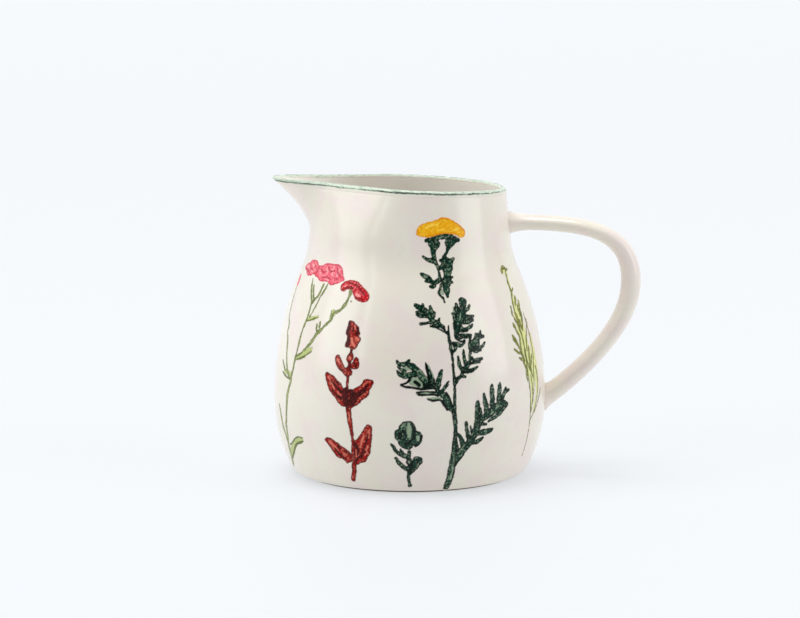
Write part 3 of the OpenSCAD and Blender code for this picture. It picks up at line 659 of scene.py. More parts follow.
sagePlant = {
    "shapes": [
        [(-2.6, 90.3), (-3, 88), (-3.8, 85.5), (-3.8, 84), (-2.8, 82.5), (-2.9, 80), (-3.6, 77.4), (-1, 77),
            (0.2, 76), (0.8, 76), (2.2, 76.4), (3.4, 78.5), (4.6, 80.5),
         (4.7, 82), (3.6, 83), (4.2, 84.2), (3.3, 85.8), (2.8, 87.6), (1, 88.7), (-0.5, 90)],
        [(0.6, 76.4, 1.4), (0.3, 75, 0.8), (0.2, 73.6, 1.6)], [(0.3, 75), (-2.2, 71), (0, 69.2), (1.8, 72)],
            [(0, 69.6, 1.2), (0, 67, 1.4), (-0.2, 65, 1.4), (-0.5, 62.4, 1.3), (-0.8, 60, 0.9),
            (-0.7, 57, 1.1), (-0.6, 55, 1.6)],
        [(-7.6, 72.5), (-8.8, 71.5), (-8.6, 69.5), (-7, 66.5), (-5, 64.8), (-2.6, 63), (-1, 62.4),
            (0.2, 62.6), (1.4, 63.4), (1.8, 65), (0.4, 66.5), (-0.6, 69), (-0.8, 67.6), (-1.8, 66.6),
         (-3, 67), (-4, 68.5), (-5.2, 70.6), (-6.6, 72.4)],
        [(3.4, 72.4), (5.3, 69.6), (4.6, 67), (2, 66.3), (0.6, 67), (1.4, 69.4)],
        [(-14.3, 62.6), (-13.8, 63.2), (-11.5, 62.8), (-9, 61.4), (-6.5, 59.6), (-4.5, 58), (-3, 56),
            (-2, 55.3), (0, 55), (0, 46.6), (-1, 46.6), (-3, 46.8), (-5.5, 48), (-7, 50),
         (-9.6, 52.4), (-11.8, 54.8), (-13.4, 58.5), (-14.4, 61.5)],
        [(0, 55), (2, 55.2), (4, 56.6), (6, 57.6), (7.4, 58.8), (8.2, 60.6), (9.5, 61.3), (12.6, 61),
            (13.4, 60.2), (13.2, 59), (12.2, 57), (11.4, 55.4), (11.2, 53.6), (9.6, 52),
         (7, 49.8), (5, 48), (2.6, 46.6), (1.4, 45.4), (0, 46)],
        [(0.2, 47, 2.6), (0.6, 42, 2.4), (1.2, 38, 2.2), (1.9, 34, 1.7), (2.2, 30, 1.4), (2.2, 26, 1.6),
            (1.8, 22, 1.8), (1.8, 18, 2), (1.2, 14, 2.2), (0.4, 10, 2.2), (-0.8, 7, 2)],
        [(-14.6, 28.2), (-13.5, 29), (-11, 28.8), (-8.5, 27.6), (-6, 26.3), (-3.6, 24.8), (-1, 23.4),
            (0.4, 21.6), (1.5, 20.5), (0.2, 17), (-1, 16.8), (-2.2, 16.1), (-3.4, 17),
         (-5, 18.4), (-6.6, 18.6), (-8.2, 19.4), (-10, 21.8), (-12.4, 25), (-14.6, 27.4)],
        [(11.3, 38), (10, 37), (8, 34.2), (6, 31.4), (4.6, 29.6), (3.4, 29), (3, 27), (2.6, 22), (1.8, 18),
            (3, 16), (5.6, 17), (8, 17.8), (9.5, 20), (11, 22.5), (12, 26),
         (12.6, 30), (13, 34), (13, 36.8)],
    ],
    "lines": [
        [(-2.4, 89.5, 1), (-2.2, 86.5, 1.4), (-3, 84.5, 1.4), (-1.8, 82.5, 1.2), (-2, 79.5, 2.2),
            (-2.4, 77.8, 1.4)], [(0.2, 87, 0.6), (0.2, 85.4, 1)],
            [(2.4, 87, 0.9), (3, 85.4, 1.2), (2.6, 84.2, 1.6)],
        [(-1.6, 55, 3), (-1.8, 51, 3.4), (-0.4, 48, 3)], [(1.8, 54.6, 2.4), (3.4, 52, 4), (2, 49, 3.6)],
            [(5, 53, 2.4), (8.6, 55.6, 2), (10.4, 58.6, 1.2)],
        [(-4, 54, 1.6), (-7.4, 56.4, 1), (-10.6, 59.4, 0.6)], [(-4, 50.6, 1.4), (-7.4, 52.4, 1),
            (-9.8, 55, 0.6)], [(-5.6, 57.6, 0.5), (-8.4, 59.6, 0.5)],
        [(-6.4, 25, 1.4), (-5.8, 24, 1)], [(-3, 18.6, 0.8), (-5.6, 20.2, 0.9), (-8.6, 23.4, 0.6)],
            [(0, 21.6, 0.8), (-3.4, 22.8, 0.5)],
        [(3.8, 27, 1.2), (5, 24, 1.2), (4.4, 21.4, 0.7)], [(3, 18, 0.9), (6.6, 22, 0.6), (9.4, 28, 0.6),
            (11, 33, 0.5)], [(6, 20, 0.5), (9, 23.6, 0.5)],
        [(-5.6, 65.6, 0.7), (-2.4, 64.6, 0.4)], [(2.2, 69.6, 0.5), (3.6, 67.6, 0.7)],
    ],
    "bare": [
        [(-0.4, 81.6, 1.4), (0.6, 79.4, 1.6), (1.8, 78, 1)], [(0.6, 88, 0.8), (1.4, 86.4, 0.7)],
            [(3.4, 81, 1.4), (2.4, 82, 0.8)], [(-0.2, 72.4, 1.2), (0.1, 71, 1)],
        [(-7.4, 70.6, 0.9), (-6.2, 69, 0.9)], [(-3.2, 65, 0.7), (-2, 64.4, 0.5)],
            [(-12.4, 61, 1), (-10.2, 58.2, 1), (-8.4, 55, 1)], [(-6.6, 54.2, 0.6), (-5, 52.6, 0.7)],
        [(8.8, 59, 0.6), (8.4, 57.8, 0.6)], [(8.8, 54.4, 0.6), (8, 53.4, 0.5)],
            [(6.2, 55, 0.5), (5.6, 54.2, 0.4)], [(7.2, 51.6, 0.5), (6.4, 50.8, 0.4)],
        [(-11.6, 27, 0.9), (-9.2, 25, 1), (-7, 22.6, 0.9)], [(-4.4, 22, 0.6), (-2, 20.4, 0.7)],
            [(8.6, 32, 0.9), (7.2, 28.6, 1.1), (6.4, 25.6, 0.6)], [(10.4, 26.4, 0.8), (8.4, 21.6, 0.8)],
        [(4, 22.6, 0.6), (3.2, 20, 0.6)], [(1.3, 19.4, 0.8), (1, 17.6, 0.7)],
            [(11.2, 31, 0.5), (11.6, 35, 0.6)], [(0.8, 40, 0.5), (0.5, 43.6, 0.6)],
    ],
}

pinkFlowers = {
    "shapes": [
        [(-24.6, 113), (-22, 114.9), (-20, 115.9), (-18.4, 116), (-16, 117.5), (-12, 117.7), (-9.5, 117.1),
            (-8, 115.8), (-6.6, 115.2), (-8, 111.4), (-10.5, 111), (-12.5, 110.2), (-16, 109.5),
            (-18.5, 110.3), (-21, 111.7)],
        [(-6.6, 115.3), (-4, 115.9), (-2, 116.9), (2, 117.3), (5, 117.2), (8, 117.5), (10.5, 116.3),
            (12, 114), (13.4, 111.6), (14.5, 110), (13, 109.2), (10, 107.8), (7, 107.2), (3, 108.5),
         (0, 108.2), (-3, 108.5), (-5.5, 109.7), (-8, 110.2), (-8.6, 112)],
        [(-28.4, 108.4, 1.6), (-27.6, 106.4, 3.4), (-27.6, 104.4, 2.6), (-28, 102.8, 1.2)],
    ],
    "lines": [
        [(-22.6, 112.6, 0.6), (-19, 112, 0.9), (-15.4, 111, 0.6)],
            [(-17.6, 115.6, 0.5), (-15.4, 113.4, 0.8), (-12.4, 112.8, 0.5)],
            [(-11.6, 115.8, 0.5), (-9.6, 113.6, 0.7)],
        [(-5, 114.4, 0.5), (-2.4, 112.8, 0.9), (0.4, 113.4, 0.5)],
            [(1, 116, 0.5), (3.4, 113.6, 0.8), (6.6, 114.2, 0.5)],
            [(7.6, 116, 0.5), (9.4, 113.2, 0.9), (12, 111.6, 0.6)],
        [(-1.6, 110, 0.6), (2.4, 110.6, 0.8), (6, 109.4, 0.6)], [(-7.4, 114.8, 0.5), (-7.8, 111.6, 0.8)],
            [(8, 110.6, 0.5), (11, 110, 0.6)],
    ],
    "bare": [
        [(-21, 114, 0.8), (-18.6, 113.6, 1.2)], [(-14.6, 115.6, 1), (-12.8, 114.8, 1.2)],
            [(-13.6, 112, 0.6), (-11.4, 111.8, 0.8)], [(-4.6, 112.2, 0.9), (-4, 110.8, 0.7)],
        [(0, 115, 1.2), (1.4, 112.4, 0.9)], [(5, 116, 0.8), (5.4, 112.2, 1.3)],
            [(9.8, 115.2, 0.8), (9.2, 111.6, 0.8)], [(2, 109.6, 0.5), (4.4, 109, 0.7)],
    ],
}

crimsonFlower = {
    "shapes": [
        [(14, 106.6), (14.6, 108.4), (17, 109.9), (20, 110.5), (23, 109.5), (26, 107.7), (29, 105.5),
            (31, 102.8), (31, 101.1), (29.4, 100.1), (27, 100.5), (24.6, 101.3), (23, 102.9),
         (21.6, 104.9), (20, 106.1), (18, 105.9), (16.6, 104.7), (14.6, 105.1)],
    ],
    "lines": [[(15.6, 105.6, 0.6), (18.6, 107, 0.7), (21.4, 106.4, 0.6)],
        [(22, 108.6, 0.6), (25.4, 106.2, 0.8), (28.6, 103.4, 0.5)], [(24.6, 102, 0.7), (28, 101.2, 0.8)],
        [(18, 109.2, 0.4), (20.4, 108.6, 0.6)]],
    "bare": [[(24, 103.8, 1), (25.2, 103.1, 1.6), (26.2, 102.8, 0.8)],
        [(27.4, 104.4, 0.8), (28.4, 103.4, 0.6)], [(16.2, 107, 0.7), (17.2, 107.8, 0.6)]],
}

pinkPlantStems = {
    "shapes": [
        [(-9.6, 108.6, 0.8), (-8, 104, 0.9), (-6.6, 100.6, 1), (-4.4, 97.6, 1.4), (-4.2, 95, 1.1),
            (-4.6, 90, 1), (-5.4, 87, 1.2), (-6.4, 84, 1), (-7.4, 81, 0.8), (-8, 77, 1.4), (-8.6, 73, 0.7),
         (-9.4, 69, 1), (-10, 66, 1.2), (-10.8, 62, 1.4), (-12, 58.5, 1.6), (-12.6, 55, 2),
             (-13.6, 52, 1.6), (-14.8, 49.4, 2), (-15.6, 46, 2), (-16, 42, 1.7), (-16.6, 38, 1.4),
             (-17.2, 34, 1.6),
         (-18, 31, 2), (-18, 28, 1.4), (-18, 25, 2), (-19, 22, 2), (-19.8, 18, 2.4), (-20.2, 14, 3),
             (-21, 11, 2.6), (-22.6, 8.6, 2.4), (-24.2, 6.6, 1.6)],
        [(-6.6, 105.6, 0.8), (-4.8, 101.4, 0.9), (-3, 98.6, 1.2)],
            [(1.6, 107, 1), (0.6, 102.6, 1.2), (-1, 100, 1), (-2.8, 98.2, 1.6), (-4.2, 96.6, 1.4)],
        [(4.6, 107, 0.8), (3.4, 103.4, 1), (1.6, 100, 0.7), (0.4, 96.4, 0.6), (-1.8, 91.6, 0.6),
            (-3, 90, 0.8)],
        [(20.6, 105.4, 1.2), (20.8, 103.4, 1.6), (20.4, 101, 1), (19.8, 98.4, 1.8), (18.4, 96, 1.3),
            (16, 94, 1.6)],
        [(14, 91.6, 1), (13.4, 90, 1.4), (11, 87.4, 1.1), (8.6, 85, 1.2), (6.6, 83, 2), (4.6, 80.6, 1.4),
            (2.6, 77.6, 1.5), (1, 75.6, 1.6), (-1, 74, 1.2), (-3, 72.2, 1), (-5, 70.6, 0.9),
         (-8, 69.2, 0.9), (-9.4, 68.6, 0.9)],
        [(6.4, 88, 0.9), (6.6, 85.4, 1)], [(4.4, 86.6, 0.8), (4.8, 84, 1), (6, 83, 1)],
        [(-28, 102, 0.8), (-28, 95, 1.1), (-27.4, 90, 1.1), (-26, 86, 1), (-24, 83.6, 1.6), (-24, 79, 0.9),
            (-22.4, 76.6, 1.2), (-21.5, 74, 1.8), (-20.6, 70, 1.2), (-19.6, 66, 1), (-18.4, 63, 1.4),
         (-17.6, 60.6, 1.8), (-14.6, 57, 1.2)],
        [(-26.6, 40, 1.2), (-24.8, 36, 1.8), (-24, 33, 2), (-23.2, 29.6, 2.2), (-21.6, 26.6, 2.2),
            (-20.4, 24, 1.6), (-19.6, 21, 1.4)],
    ],
    "washes": [
        [(13.4, 94.8, 1.4), (14, 93, 3), (12.6, 90.8, 1.4)], [(3.8, 74.6, 1), (2.4, 73.4, 3),
            (0, 71.8, 3.6), (-3, 70, 3.6), (-6, 68.4, 2.6), (-9, 67.4, 1.4)],
        [(3.8, 90.6, 1.4), (1, 89.6, 2.2), (-2, 88.8, 2.2), (-4.6, 88.2, 1.8)],
            [(-20, 59.4, 2.6), (-17, 59.2, 2.6), (-14, 58.6, 2.2), (-12, 58, 1.6)],
        [(-2.2, 25.4, 1.6), (-5, 24.4, 3), (-8, 23.2, 3.2), (-11, 21.2, 3), (-14, 18.8, 3.4),
            (-17, 16.2, 3.8), (-19.4, 13.6, 3.2)],
    ],
    "lines": [
        [(3.8, 72.6, 0.5), (0, 70.4, 0.7), (-4, 68.4, 0.8), (-8, 67, 0.6)],
            [(-24.6, 64.2, 1), (-22, 61.6, 1.2), (-20, 60, 1.4)],
            [(-23, 58.2, 0.9), (-20.4, 57.4, 1.2), (-17, 56.4, 0.8), (-13.4, 56, 1.1)],
        [(-1.4, 24.6, 0.6), (-4, 23.4, 1.2), (-8, 22, 1.2), (-11, 19.8, 1.1), (-14, 16.6, 1.1),
            (-17, 13.8, 1.1), (-20, 11.6, 1.4)],
        [(-2, 26.2, 0.7), (-7, 25.8, 0.8), (-10, 24.2, 0.7), (-14, 21.4, 0.8), (-17, 20, 0.8)],
            [(15, 94.8, 0.5), (13.8, 92.6, 0.5)], [(22.2, 100.2, 0.7), (22.6, 99.8, 0.7)],
        [(3.4, 90.2, 0.4), (-1, 88.4, 0.6), (-4.4, 87.4, 0.5)], [(12.4, 94.2, 0.5), (12.6, 92, 0.5)],
    ],
    "bare": [[(-8, 76.4, 0.4), (-8, 78, 0.5)], [(-12.5, 56, 0.6), (-12.8, 54, 0.7)],
        [(-15, 48.4, 0.7), (-15.6, 45, 0.7)], [(-20, 16, 0.9), (-20.6, 12.4, 1)],
        [(-18, 26, 0.6), (-18.6, 22.6, 0.7)]],
}

grassPlant = {
    "shapes": [
        [(-3, 112, 1), (-1.8, 113.6, 1.6), (0, 114.6, 1.8), (2.4, 113.4, 1.4), (3.8, 113.2, 0.8)],
        [(1.4, 113, 0.7), (0.2, 109.4, 0.7), (-0.6, 107.2, 1), (-0.4, 104, 0.8), (-0.6, 101.4, 1),
            (-1.6, 98.8, 0.9), (-2.2, 96, 0.8), (-2.6, 92, 0.8), (-2, 90, 1.8), (-1.6, 85, 0.8),
            (-1, 80, 0.8),
         (-0.4, 75, 0.8), (0, 70, 0.8), (-0.4, 64, 0.7), (0, 58, 0.8), (0.8, 53, 0.7), (1.4, 48, 0.6),
             (1.3, 36, 0.6), (0.9, 26, 0.5), (0.2, 15, 0.5)],
        [(0.2, 102, 0.8), (2.2, 103.2, 0.9)], [(2, 99.6, 0.7), (1.6, 97.8, 1.8), (0, 95, 0.8)],
            [(4.4, 97, 0.8), (4, 95, 2), (2.6, 93, 2.8), (3, 90.6, 2.8), (3.2, 87.8, 1.6), (1.4, 84, 0.8)],
        [(-5, 94.8, 1), (-5.2, 92, 1.1), (-5.4, 90.6, 0.8), (-3, 86, 0.6)],
            [(-4.6, 88.4, 0.8), (-3.6, 87, 1.4), (-1.6, 84, 0.7)],
            [(-0.8, 87.4, 0.8), (0, 86.4, 1.6), (0.2, 83, 0.8)],
            [(2.4, 87.6, 0.6), (2.4, 86.4, 1), (1, 82, 0.6)],
        [(-6.8, 86.4, 0.7), (-6.2, 85, 1.8), (-5.2, 82.6, 1.2), (-2.6, 78, 0.6)],
            [(-2.4, 84.6, 0.6), (-1.8, 83, 1.2), (-1.2, 80.6, 0.6)],
            [(-9.4, 80.4, 0.8), (-8.6, 78.6, 2.4), (-7, 76.4, 1.8), (-4, 71, 0.7)],
        [(-3.6, 78.4, 0.6), (-3.8, 76.4, 1.2), (-4, 74, 1.2), (-3.8, 71.4, 1.2), (-2, 66, 0.7)],
            [(-9.8, 73.2, 0.8), (-7, 71.2, 1.2), (-4.4, 70.4, 1.4), (-2.4, 66, 0.6)],
            [(-6.8, 68.4, 0.6), (-5.6, 67.6, 1.2), (-3.8, 67, 1.5), (-1.8, 63, 0.7)],
        [(8, 87, 0.6), (8, 85, 0.8), (6.2, 82.6, 0.8), (4.8, 79.6, 1), (3.2, 77, 1.1), (2, 71, 0.7)],
            [(6.4, 91, 0.5), (7.4, 84, 0.6), (8.6, 76, 0.7), (8.6, 68, 0.6), (7, 60, 0.6)],
        [(4.4, 73, 0.7), (4, 71, 1.4), (3.6, 68.4, 1.5), (3, 64, 0.8)],
            [(7, 68.6, 0.6), (6, 66.6, 1.2), (4.4, 63, 0.8)],
        [(-0.4, 72.4, 0.8), (-0.4, 70.4, 1.6), (-0.2, 67.8, 1), (0.8, 64.8, 1.3), (2.4, 62.4, 1.8),
            (4, 60.2, 1.6), (5.2, 57, 0.8)], [(-1, 63.6, 0.8), (-1.1, 61.6, 1.3), (-1.6, 59, 1.1),
            (-0.6, 55, 0.6)],
        [(10, 62, 0.6), (12, 54, 0.8), (11, 48, 0.7), (8, 42, 0.6), (5, 37.4, 0.5), (1.6, 34.4, 0.5)],
            [(7, 60, 0.6), (6.4, 52, 0.6), (4.6, 45, 0.5), (1.4, 38, 0.5)],
        [(15.6, 49, 0.8), (13.8, 46, 1), (10.6, 42.4, 0.6), (6.4, 38, 0.5)],
            [(3, 58, 0.5), (4.4, 50, 0.6), (3.4, 43, 0.5), (1.6, 38.6, 0.4)],
    ],
    "washes": [
        [(-0.6, 98, 3), (-0.4, 90, 7), (-1, 82, 10), (-1, 75, 11), (1, 68, 11), (3, 61, 8), (4.6, 54, 5),
            (3.4, 46, 2.4), (1.6, 38, 1)],
        [(-2, 113, 3), (1, 113.4, 3), (0.2, 107, 1.8), (-0.6, 100, 2.4)],
        [(9, 78, 3), (9.4, 68, 5), (10, 58, 5), (10, 48, 3), (5, 39, 1.4)],
    ],
    "lines": [[(-8.8, 79, 0.6), (-7.2, 76.8, 0.7)], [(3, 92.6, 1), (3, 89, 1)],
        [(-0.6, 70.6, 0.7), (0.6, 65.6, 0.7)], [(2.6, 62.4, 0.8), (4.2, 60.2, 0.8)],
        [(-1.2, 113.8, 0.6), (1.4, 114, 0.6)]],
    "bare": [],
}

paintLook = {
    "cell": 0.32,            # grid spacing of the painted skins
    "margin": 0.7,           # how far a skin runs on past its colour before it dips into the wall
    "softEdge": 0.36,
    "raggedness": 0.22,
    "outlineWidth": 0.58,
    "specks": 0.6,           # pale specks inside the colour
    "proud": 0.07,           # the colour stands this far above the wall
    "sunk": -0.05,
    "thickness": 0.22,
    "seed": 11,
}


# smooth random field between 0 and 1 with features of the given size
def grain(u, z, size, seed):
    lattice = np.random.default_rng(paintLook["seed"] * 1000 + seed).random((97, 89))
    a, b = u / size + 300, z / size + 300
    i, j = np.floor(a).astype(int), np.floor(b).astype(int)
    s, t = smooth(a - i), smooth(b - j)
    near = lattice[i % 97, j % 89] * (1 - s) + lattice[(i + 1) % 97, j % 89] * s
    far = lattice[i % 97, (j + 1) % 89] * (1 - s) + lattice[(i + 1) % 97, (j + 1) % 89] * s
    return near * (1 - t) + far * t


# extra points on a smooth curve through the given ones
def curved(points, closed):
    pts = np.array(points, dtype=float)
    n = len(pts)
    if n < 3:
        return pts
    pick = (lambda i: pts[i % n]) if closed else (lambda i: pts[min(max(i, 0), n - 1)])
    out = []
    for i in range(n if closed else n - 1):
        p, q, r, s = pick(i - 1), pick(i), pick(i + 1), pick(i + 2)
        for t in (0.0, 1 / 3, 2 / 3):
            out.append(0.5 * (2 * q + (r - p) * t + (2 * p - 5 * q + 4 * r - s) * t ** 2
                + (3 * q - p - 3 * r + s) * t ** 3))
    return np.array(out if closed else out + [pts[-1]])


# distance to a brush stroke of changing width, below zero inside
def strokeDistance(points, u, z):
    best = np.full(u.shape, 50.0)
    pts = curved(points, False)
    for (u0, z0, w0), (u1, z1, w1) in zip(pts, pts[1:]):
        du, dz = u1 - u0, z1 - z0
        t = np.clip(((u - u0) * du + (z - z0) * dz) / max(du * du + dz * dz, 1e-9), 0, 1)
        best = np.minimum(best, np.hypot(u - u0 - t * du, z - z0 - t * dz) - (w0 + (w1 - w0) * t) / 2)
    return best


# distance to a closed outline, below zero inside
def outlineDistance(points, u, z):
    pts = curved(points, True)
    best = np.full(u.shape, 50.0)
    inside = np.zeros(u.shape, dtype=bool)
    for (u0, z0), (u1, z1) in zip(pts, np.roll(pts, -1, axis=0)):
        du, dz = u1 - u0, z1 - z0
        t = np.clip(((u - u0) * du + (z - z0) * dz) / max(du * du + dz * dz, 1e-9), 0, 1)
        best = np.minimum(best, np.hypot(u - u0 - t * du, z - z0 - t * dz))
        crosses = (z0 > z) != (z1 > z)
        inside ^= crosses & (u < (z - z0) * du / (dz if abs(dz) > 1e-9 else 1e-9) + u0)
    return np.where(inside, -best, best)


def shapeDistance(points, u, z):
    pad = 3.0
    reach = np.array([p[:2] for p in points])
    (u0, z0), (u1, z1) = reach.min(axis=0) - pad, reach.max(axis=0) + pad
    near = (u > u0) & (u < u1) & (z > z0) & (z < z1)
    found = np.full(u.shape, 50.0)
    if near.any():
        way = strokeDistance if len(points[0]) == 3 else outlineDistance
        found[near] = way(points, u[near], z[near])
    return found


def nearest(shapes, u, z):
    best = np.full(u.shape, 50.0)
    for points in shapes:
        best = np.minimum(best, shapeDistance(points, u, z))
    return best


# cover, dark line, thin wash and inner depth of a plant's colour at flat points
def paintAt(plant, spread, u, z):
    ragged = paintLook["raggedness"] * (grain(u, z, 1.3, 1) + 0.6 * grain(u, z, 0.55, 2) - 0.8) * 2
    edge = paintLook["softEdge"]
    full, outline = np.full(u.shape, 50.0), np.zeros(u.shape)
    for points in plant["shapes"]:
        d = shapeDistance(points, u, z) + ragged - spread
        full = np.minimum(full, d)
        outline = np.maximum(outline, smooth(1 - np.abs(d + 0.2) / paintLook["outlineWidth"]))
    lines = nearest(plant.get("lines", []), u, z) + ragged * 0.7 - spread * 0.6
    wash = nearest(plant.get("washes", []), u, z) + ragged * 1.4
    bare = nearest(plant.get("bare", []), u, z) + ragged
    fullCover, lineCover = smooth(0.5 - full / edge), smooth(0.5 - lines / edge)
    washCover, bareCover = smooth(0.5 - wash / (2.2 * edge)), smooth(0.5 - bare / (1.6 * edge))
    cover = np.maximum(np.maximum(fullCover, lineCover), washCover)
    line = np.maximum(outline * fullCover * (0.55 + 0.75 * grain(u, z, 1.6, 3)), lineCover)
    thin = np.maximum(washCover * (1 - np.maximum(fullCover, lineCover)),
        bareCover * fullCover * (1 - 0.5 * lineCover))
    specks = smooth((grain(u, z, 0.62, 5) - 0.62) / 0.14) * smooth((-full - 0.2) / 0.4)
    specks = specks * paintLook["specks"]
    thin = np.maximum(thin, specks * (1 - 0.6 * lineCover))
    inner = smooth(-full / 1.6)
    distance = np.minimum(np.minimum(full, lines), wash)
    return np.stack([cover, np.clip(line, 0, 1), thin, inner], axis=1), distance


# a flat closed skin a little wider than the plant's colour: x is across, y is height and z is out
# from the wall
def flatSkin(name, plant, spread):
    every = [p for layer in plant.values() for points in layer for p in points]
    reach = np.array([p[:2] for p in every])
    (u0, z0), (u1, z1) = reach.min(axis=0) - 4, reach.max(axis=0) + 4
    cell = paintLook["cell"]
    nu, nz = int((u1 - u0) / cell), int((z1 - z0) / cell)
    bm = bmesh.new()
    place = Matrix.Translation(((u0 + u1) / 2, (z0 + z1) / 2, 0))
    place = place @ Matrix.Diagonal((nu * cell, nz * cell, 1, 1))
    bmesh.ops.create_grid(bm, x_segments=nu, y_segments=nz, size=0.5, matrix=place)
    spots = allPoints(bm)
    distance = paintAt(plant, spread, spots[:, 0], spots[:, 1])[1]
    bmesh.ops.delete(bm, geom=[vert for vert, d in zip(bm.verts, distance) if d > paintLook["margin"]],
        context="VERTS")
    bmesh.ops.delete(bm, geom=[vert for vert in bm.verts if not vert.link_faces], context="VERTS")
    bmesh.ops.solidify(bm, geom=bm.faces[:], thickness=paintLook["thickness"])
    bmesh.ops.recalc_face_normals(bm, faces=bm.faces[:])
    mesh = bpy.data.meshes.new(name + "Flat")
    bm.to_mesh(mesh)
    bm.free()
    spots = np.empty(len(mesh.vertices) * 3)
    mesh.vertices.foreach_get("co", spots)
    spots = spots.reshape(-1, 3)
    paint, distance = paintAt(plant, spread, spots[:, 0], spots[:, 1])
    top = spots[:, 2] > spots[:, 2].mean()
    lift = paintLook["sunk"] + (paintLook["proud"] - paintLook["sunk"]) * smooth(0.75 - distance / 0.5)
    spots[:, 2] = np.where(top, lift, -paintLook["thickness"])
    layer = mesh.attributes.new("paint", "FLOAT_COLOR", "POINT")
    layer.data.foreach_set("color", paint.ravel())
    mesh.polygons.foreach_set("use_smooth", [True] * len(mesh.polygons))
    return mesh, spots


# lays a flat skin on the wall at an angle round the body: 0 in front, 90 at the handle
def layOnWall(name, flat, angle, material, node):
    mesh, spots = flat[0].copy(), flat[1]
    across, height, out = spots[:, 0], spots[:, 1], spots[:, 2]
    lifted = np.clip((height - neckZ) / (rimZ - neckZ), 0, 1.1)
    height = height - rimLift(angle - 90) * lifted
    around = np.radians(angle) + np.arcsin(across / outerRadius(height))
    r = outerRadius(height)
    points = shaped(np.stack([r * np.sin(around), -r * np.cos(around), height], axis=1))
    r = np.hypot(points[:, 0], points[:, 1])
    points[:, 0] *= (r + out) / r
    points[:, 1] *= (r + out) / r
    mesh.vertices.foreach_set("co", (points / 1000).ravel())
    mesh.name = name
    piece = bpy.data.objects.new(name, mesh)
    bpy.context.scene.collection.objects.link(piece)
    mesh.materials.append(material)
    mesh.update()
    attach(piece, "root")
    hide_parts(node)
    print("painted", name, len(mesh.polygons), "faces")


# a ceramic stain painted under the clear glaze: dark where the brush or stamp left its edge,
# mottled inside and thin in the washes, with the same gloss as the pot
def stainMaterial(name, dark, mid, light, wash, mottle=1.5, inkiness=1.0):
    material, tree = newMaterial(name)
    cream, rough, bump, place = glazeParts(tree)
    paint = addNode(tree, "ShaderNodeAttribute", {"attribute_name": "paint", "attribute_type": "GEOMETRY"})
    masks = addNode(tree, "ShaderNodeSeparateColor", inputs={0: paint.outputs["Color"]})
    blotch = addNode(tree, "ShaderNodeTexNoise", inputs={"Vector": place, "Scale": 1000 / mottle,
        "Detail": 2.5, "Roughness": 0.6})
    speck = addNode(tree, "ShaderNodeTexNoise", inputs={"Vector": place, "Scale": 1000 / 0.7, "Detail": 1.0,
        "Roughness": 0.5})
    inside = addNode(tree, "ShaderNodeMapRange", inputs={0: blotch.outputs["Fac"], 1: 0.36, 2: 0.64, 3: 0.0,
        4: 1.0})
    lit = addNode(tree, "ShaderNodeMath", {"operation": "MULTIPLY"},
        {0: inside.outputs[0], 1: paint.outputs["Alpha"]})
    body = addNode(tree, "ShaderNodeMix", {"data_type": "RGBA"},
        {0: lit.outputs[0], 6: linear(mid), 7: linear(light)})
    pooled = addNode(tree, "ShaderNodeMapRange", inputs={0: speck.outputs["Fac"], 1: 0.35, 2: 0.6,
        3: 0.55 * inkiness, 4: inkiness})
    ink = addNode(tree, "ShaderNodeMath", {"operation": "MULTIPLY"},
        {0: masks.outputs[1], 1: pooled.outputs[0]})
    thinned = addNode(tree, "ShaderNodeMix", {"data_type": "RGBA"},
        {0: masks.outputs[2], 6: body.outputs[2], 7: linear(wash)})
    inked = addNode(tree, "ShaderNodeMix", {"data_type": "RGBA"},
        {0: ink.outputs[0], 6: thinned.outputs[2], 7: linear(dark)})
    colour = addNode(tree, "ShaderNodeMix", {"data_type": "RGBA"},
        {0: masks.outputs[0], 6: cream, 7: inked.outputs[2]})
    shader = addNode(tree, "ShaderNodeBsdfPrincipled", inputs={"Base Color": colour.outputs[2],
        "Roughness": rough, "IOR": 1.33, "Specular IOR Level": 0.3, "Normal": bump})
    addNode(tree, "ShaderNodeOutputMaterial", inputs={"Surface": shader.outputs[0]})
    return material


stains = {
    "tansy_yellow": stainMaterial("tansyYellowStain", "D87000", "EBA002", "FAB91C", "FFD24A", 1.6, 0.6),
    "bottle_green": stainMaterial("bottleGreenStain", "010B07", "06261B", "1C4938", "93A68A", 1.0, 1.1),
    "brick_red": stainMaterial("brickRedStain", "2E0001", "7E0604", "A61C12", "DE7A66", 0.9, 1.1),
    "rose_pink": stainMaterial("rosePinkStain", "AC1E38", "E4485F", "F07A88", "FFAFB0", 1.1, 0.8),
    "crimson": stainMaterial("crimsonStain", "700008", "BC0010", "D0102A", "FF9A9A", 1.2),
    "olive_green": stainMaterial("oliveGreenStain", "56622A", "868E58", "A2AA74", "B9C280", 1.2),
    "leaf_green": stainMaterial("leafGreenStain", "54582A", "80803A", "9C9C50", "DCDE98", 1.2),
    "rim_green": stainMaterial("rimGreenStain", "24362A", "74907E", "9DB3A0", "D2DECB", 2.0),
}

# each plant's colour, node, places in front and behind, and how far its colour spread when it was fired
plantPlaces = {
    "tansyFlower": (tansyFlower, "tansy_yellow", "tansy_flower", 18, 152, 0.1),
    "tansyLeaves": (tansyLeaves, "bottle_green", "tansy_leaves", 18, 152, 0.3),
    "budPlant": (budPlant, "bottle_green", "bud_plant", -1, 184, 0.3),
    "sagePlant": (sagePlant, "brick_red", "sage_plant", -26, 204, 0.25),
    "pinkFlowers": (pinkFlowers, "rose_pink", "pink_flowers", -50, 238, 0.2),
    "crimsonFlower": (crimsonFlower, "crimson", "crimson_flower", -50, 238, 0.2),
    "pinkPlantStems": (pinkPlantStems, "olive_green", "pink_plant_stems", -50, 238, 0.15),
    "grassPlant": (grassPlant, "leaf_green", "grass_plant", 59, 116, 0.15),
}

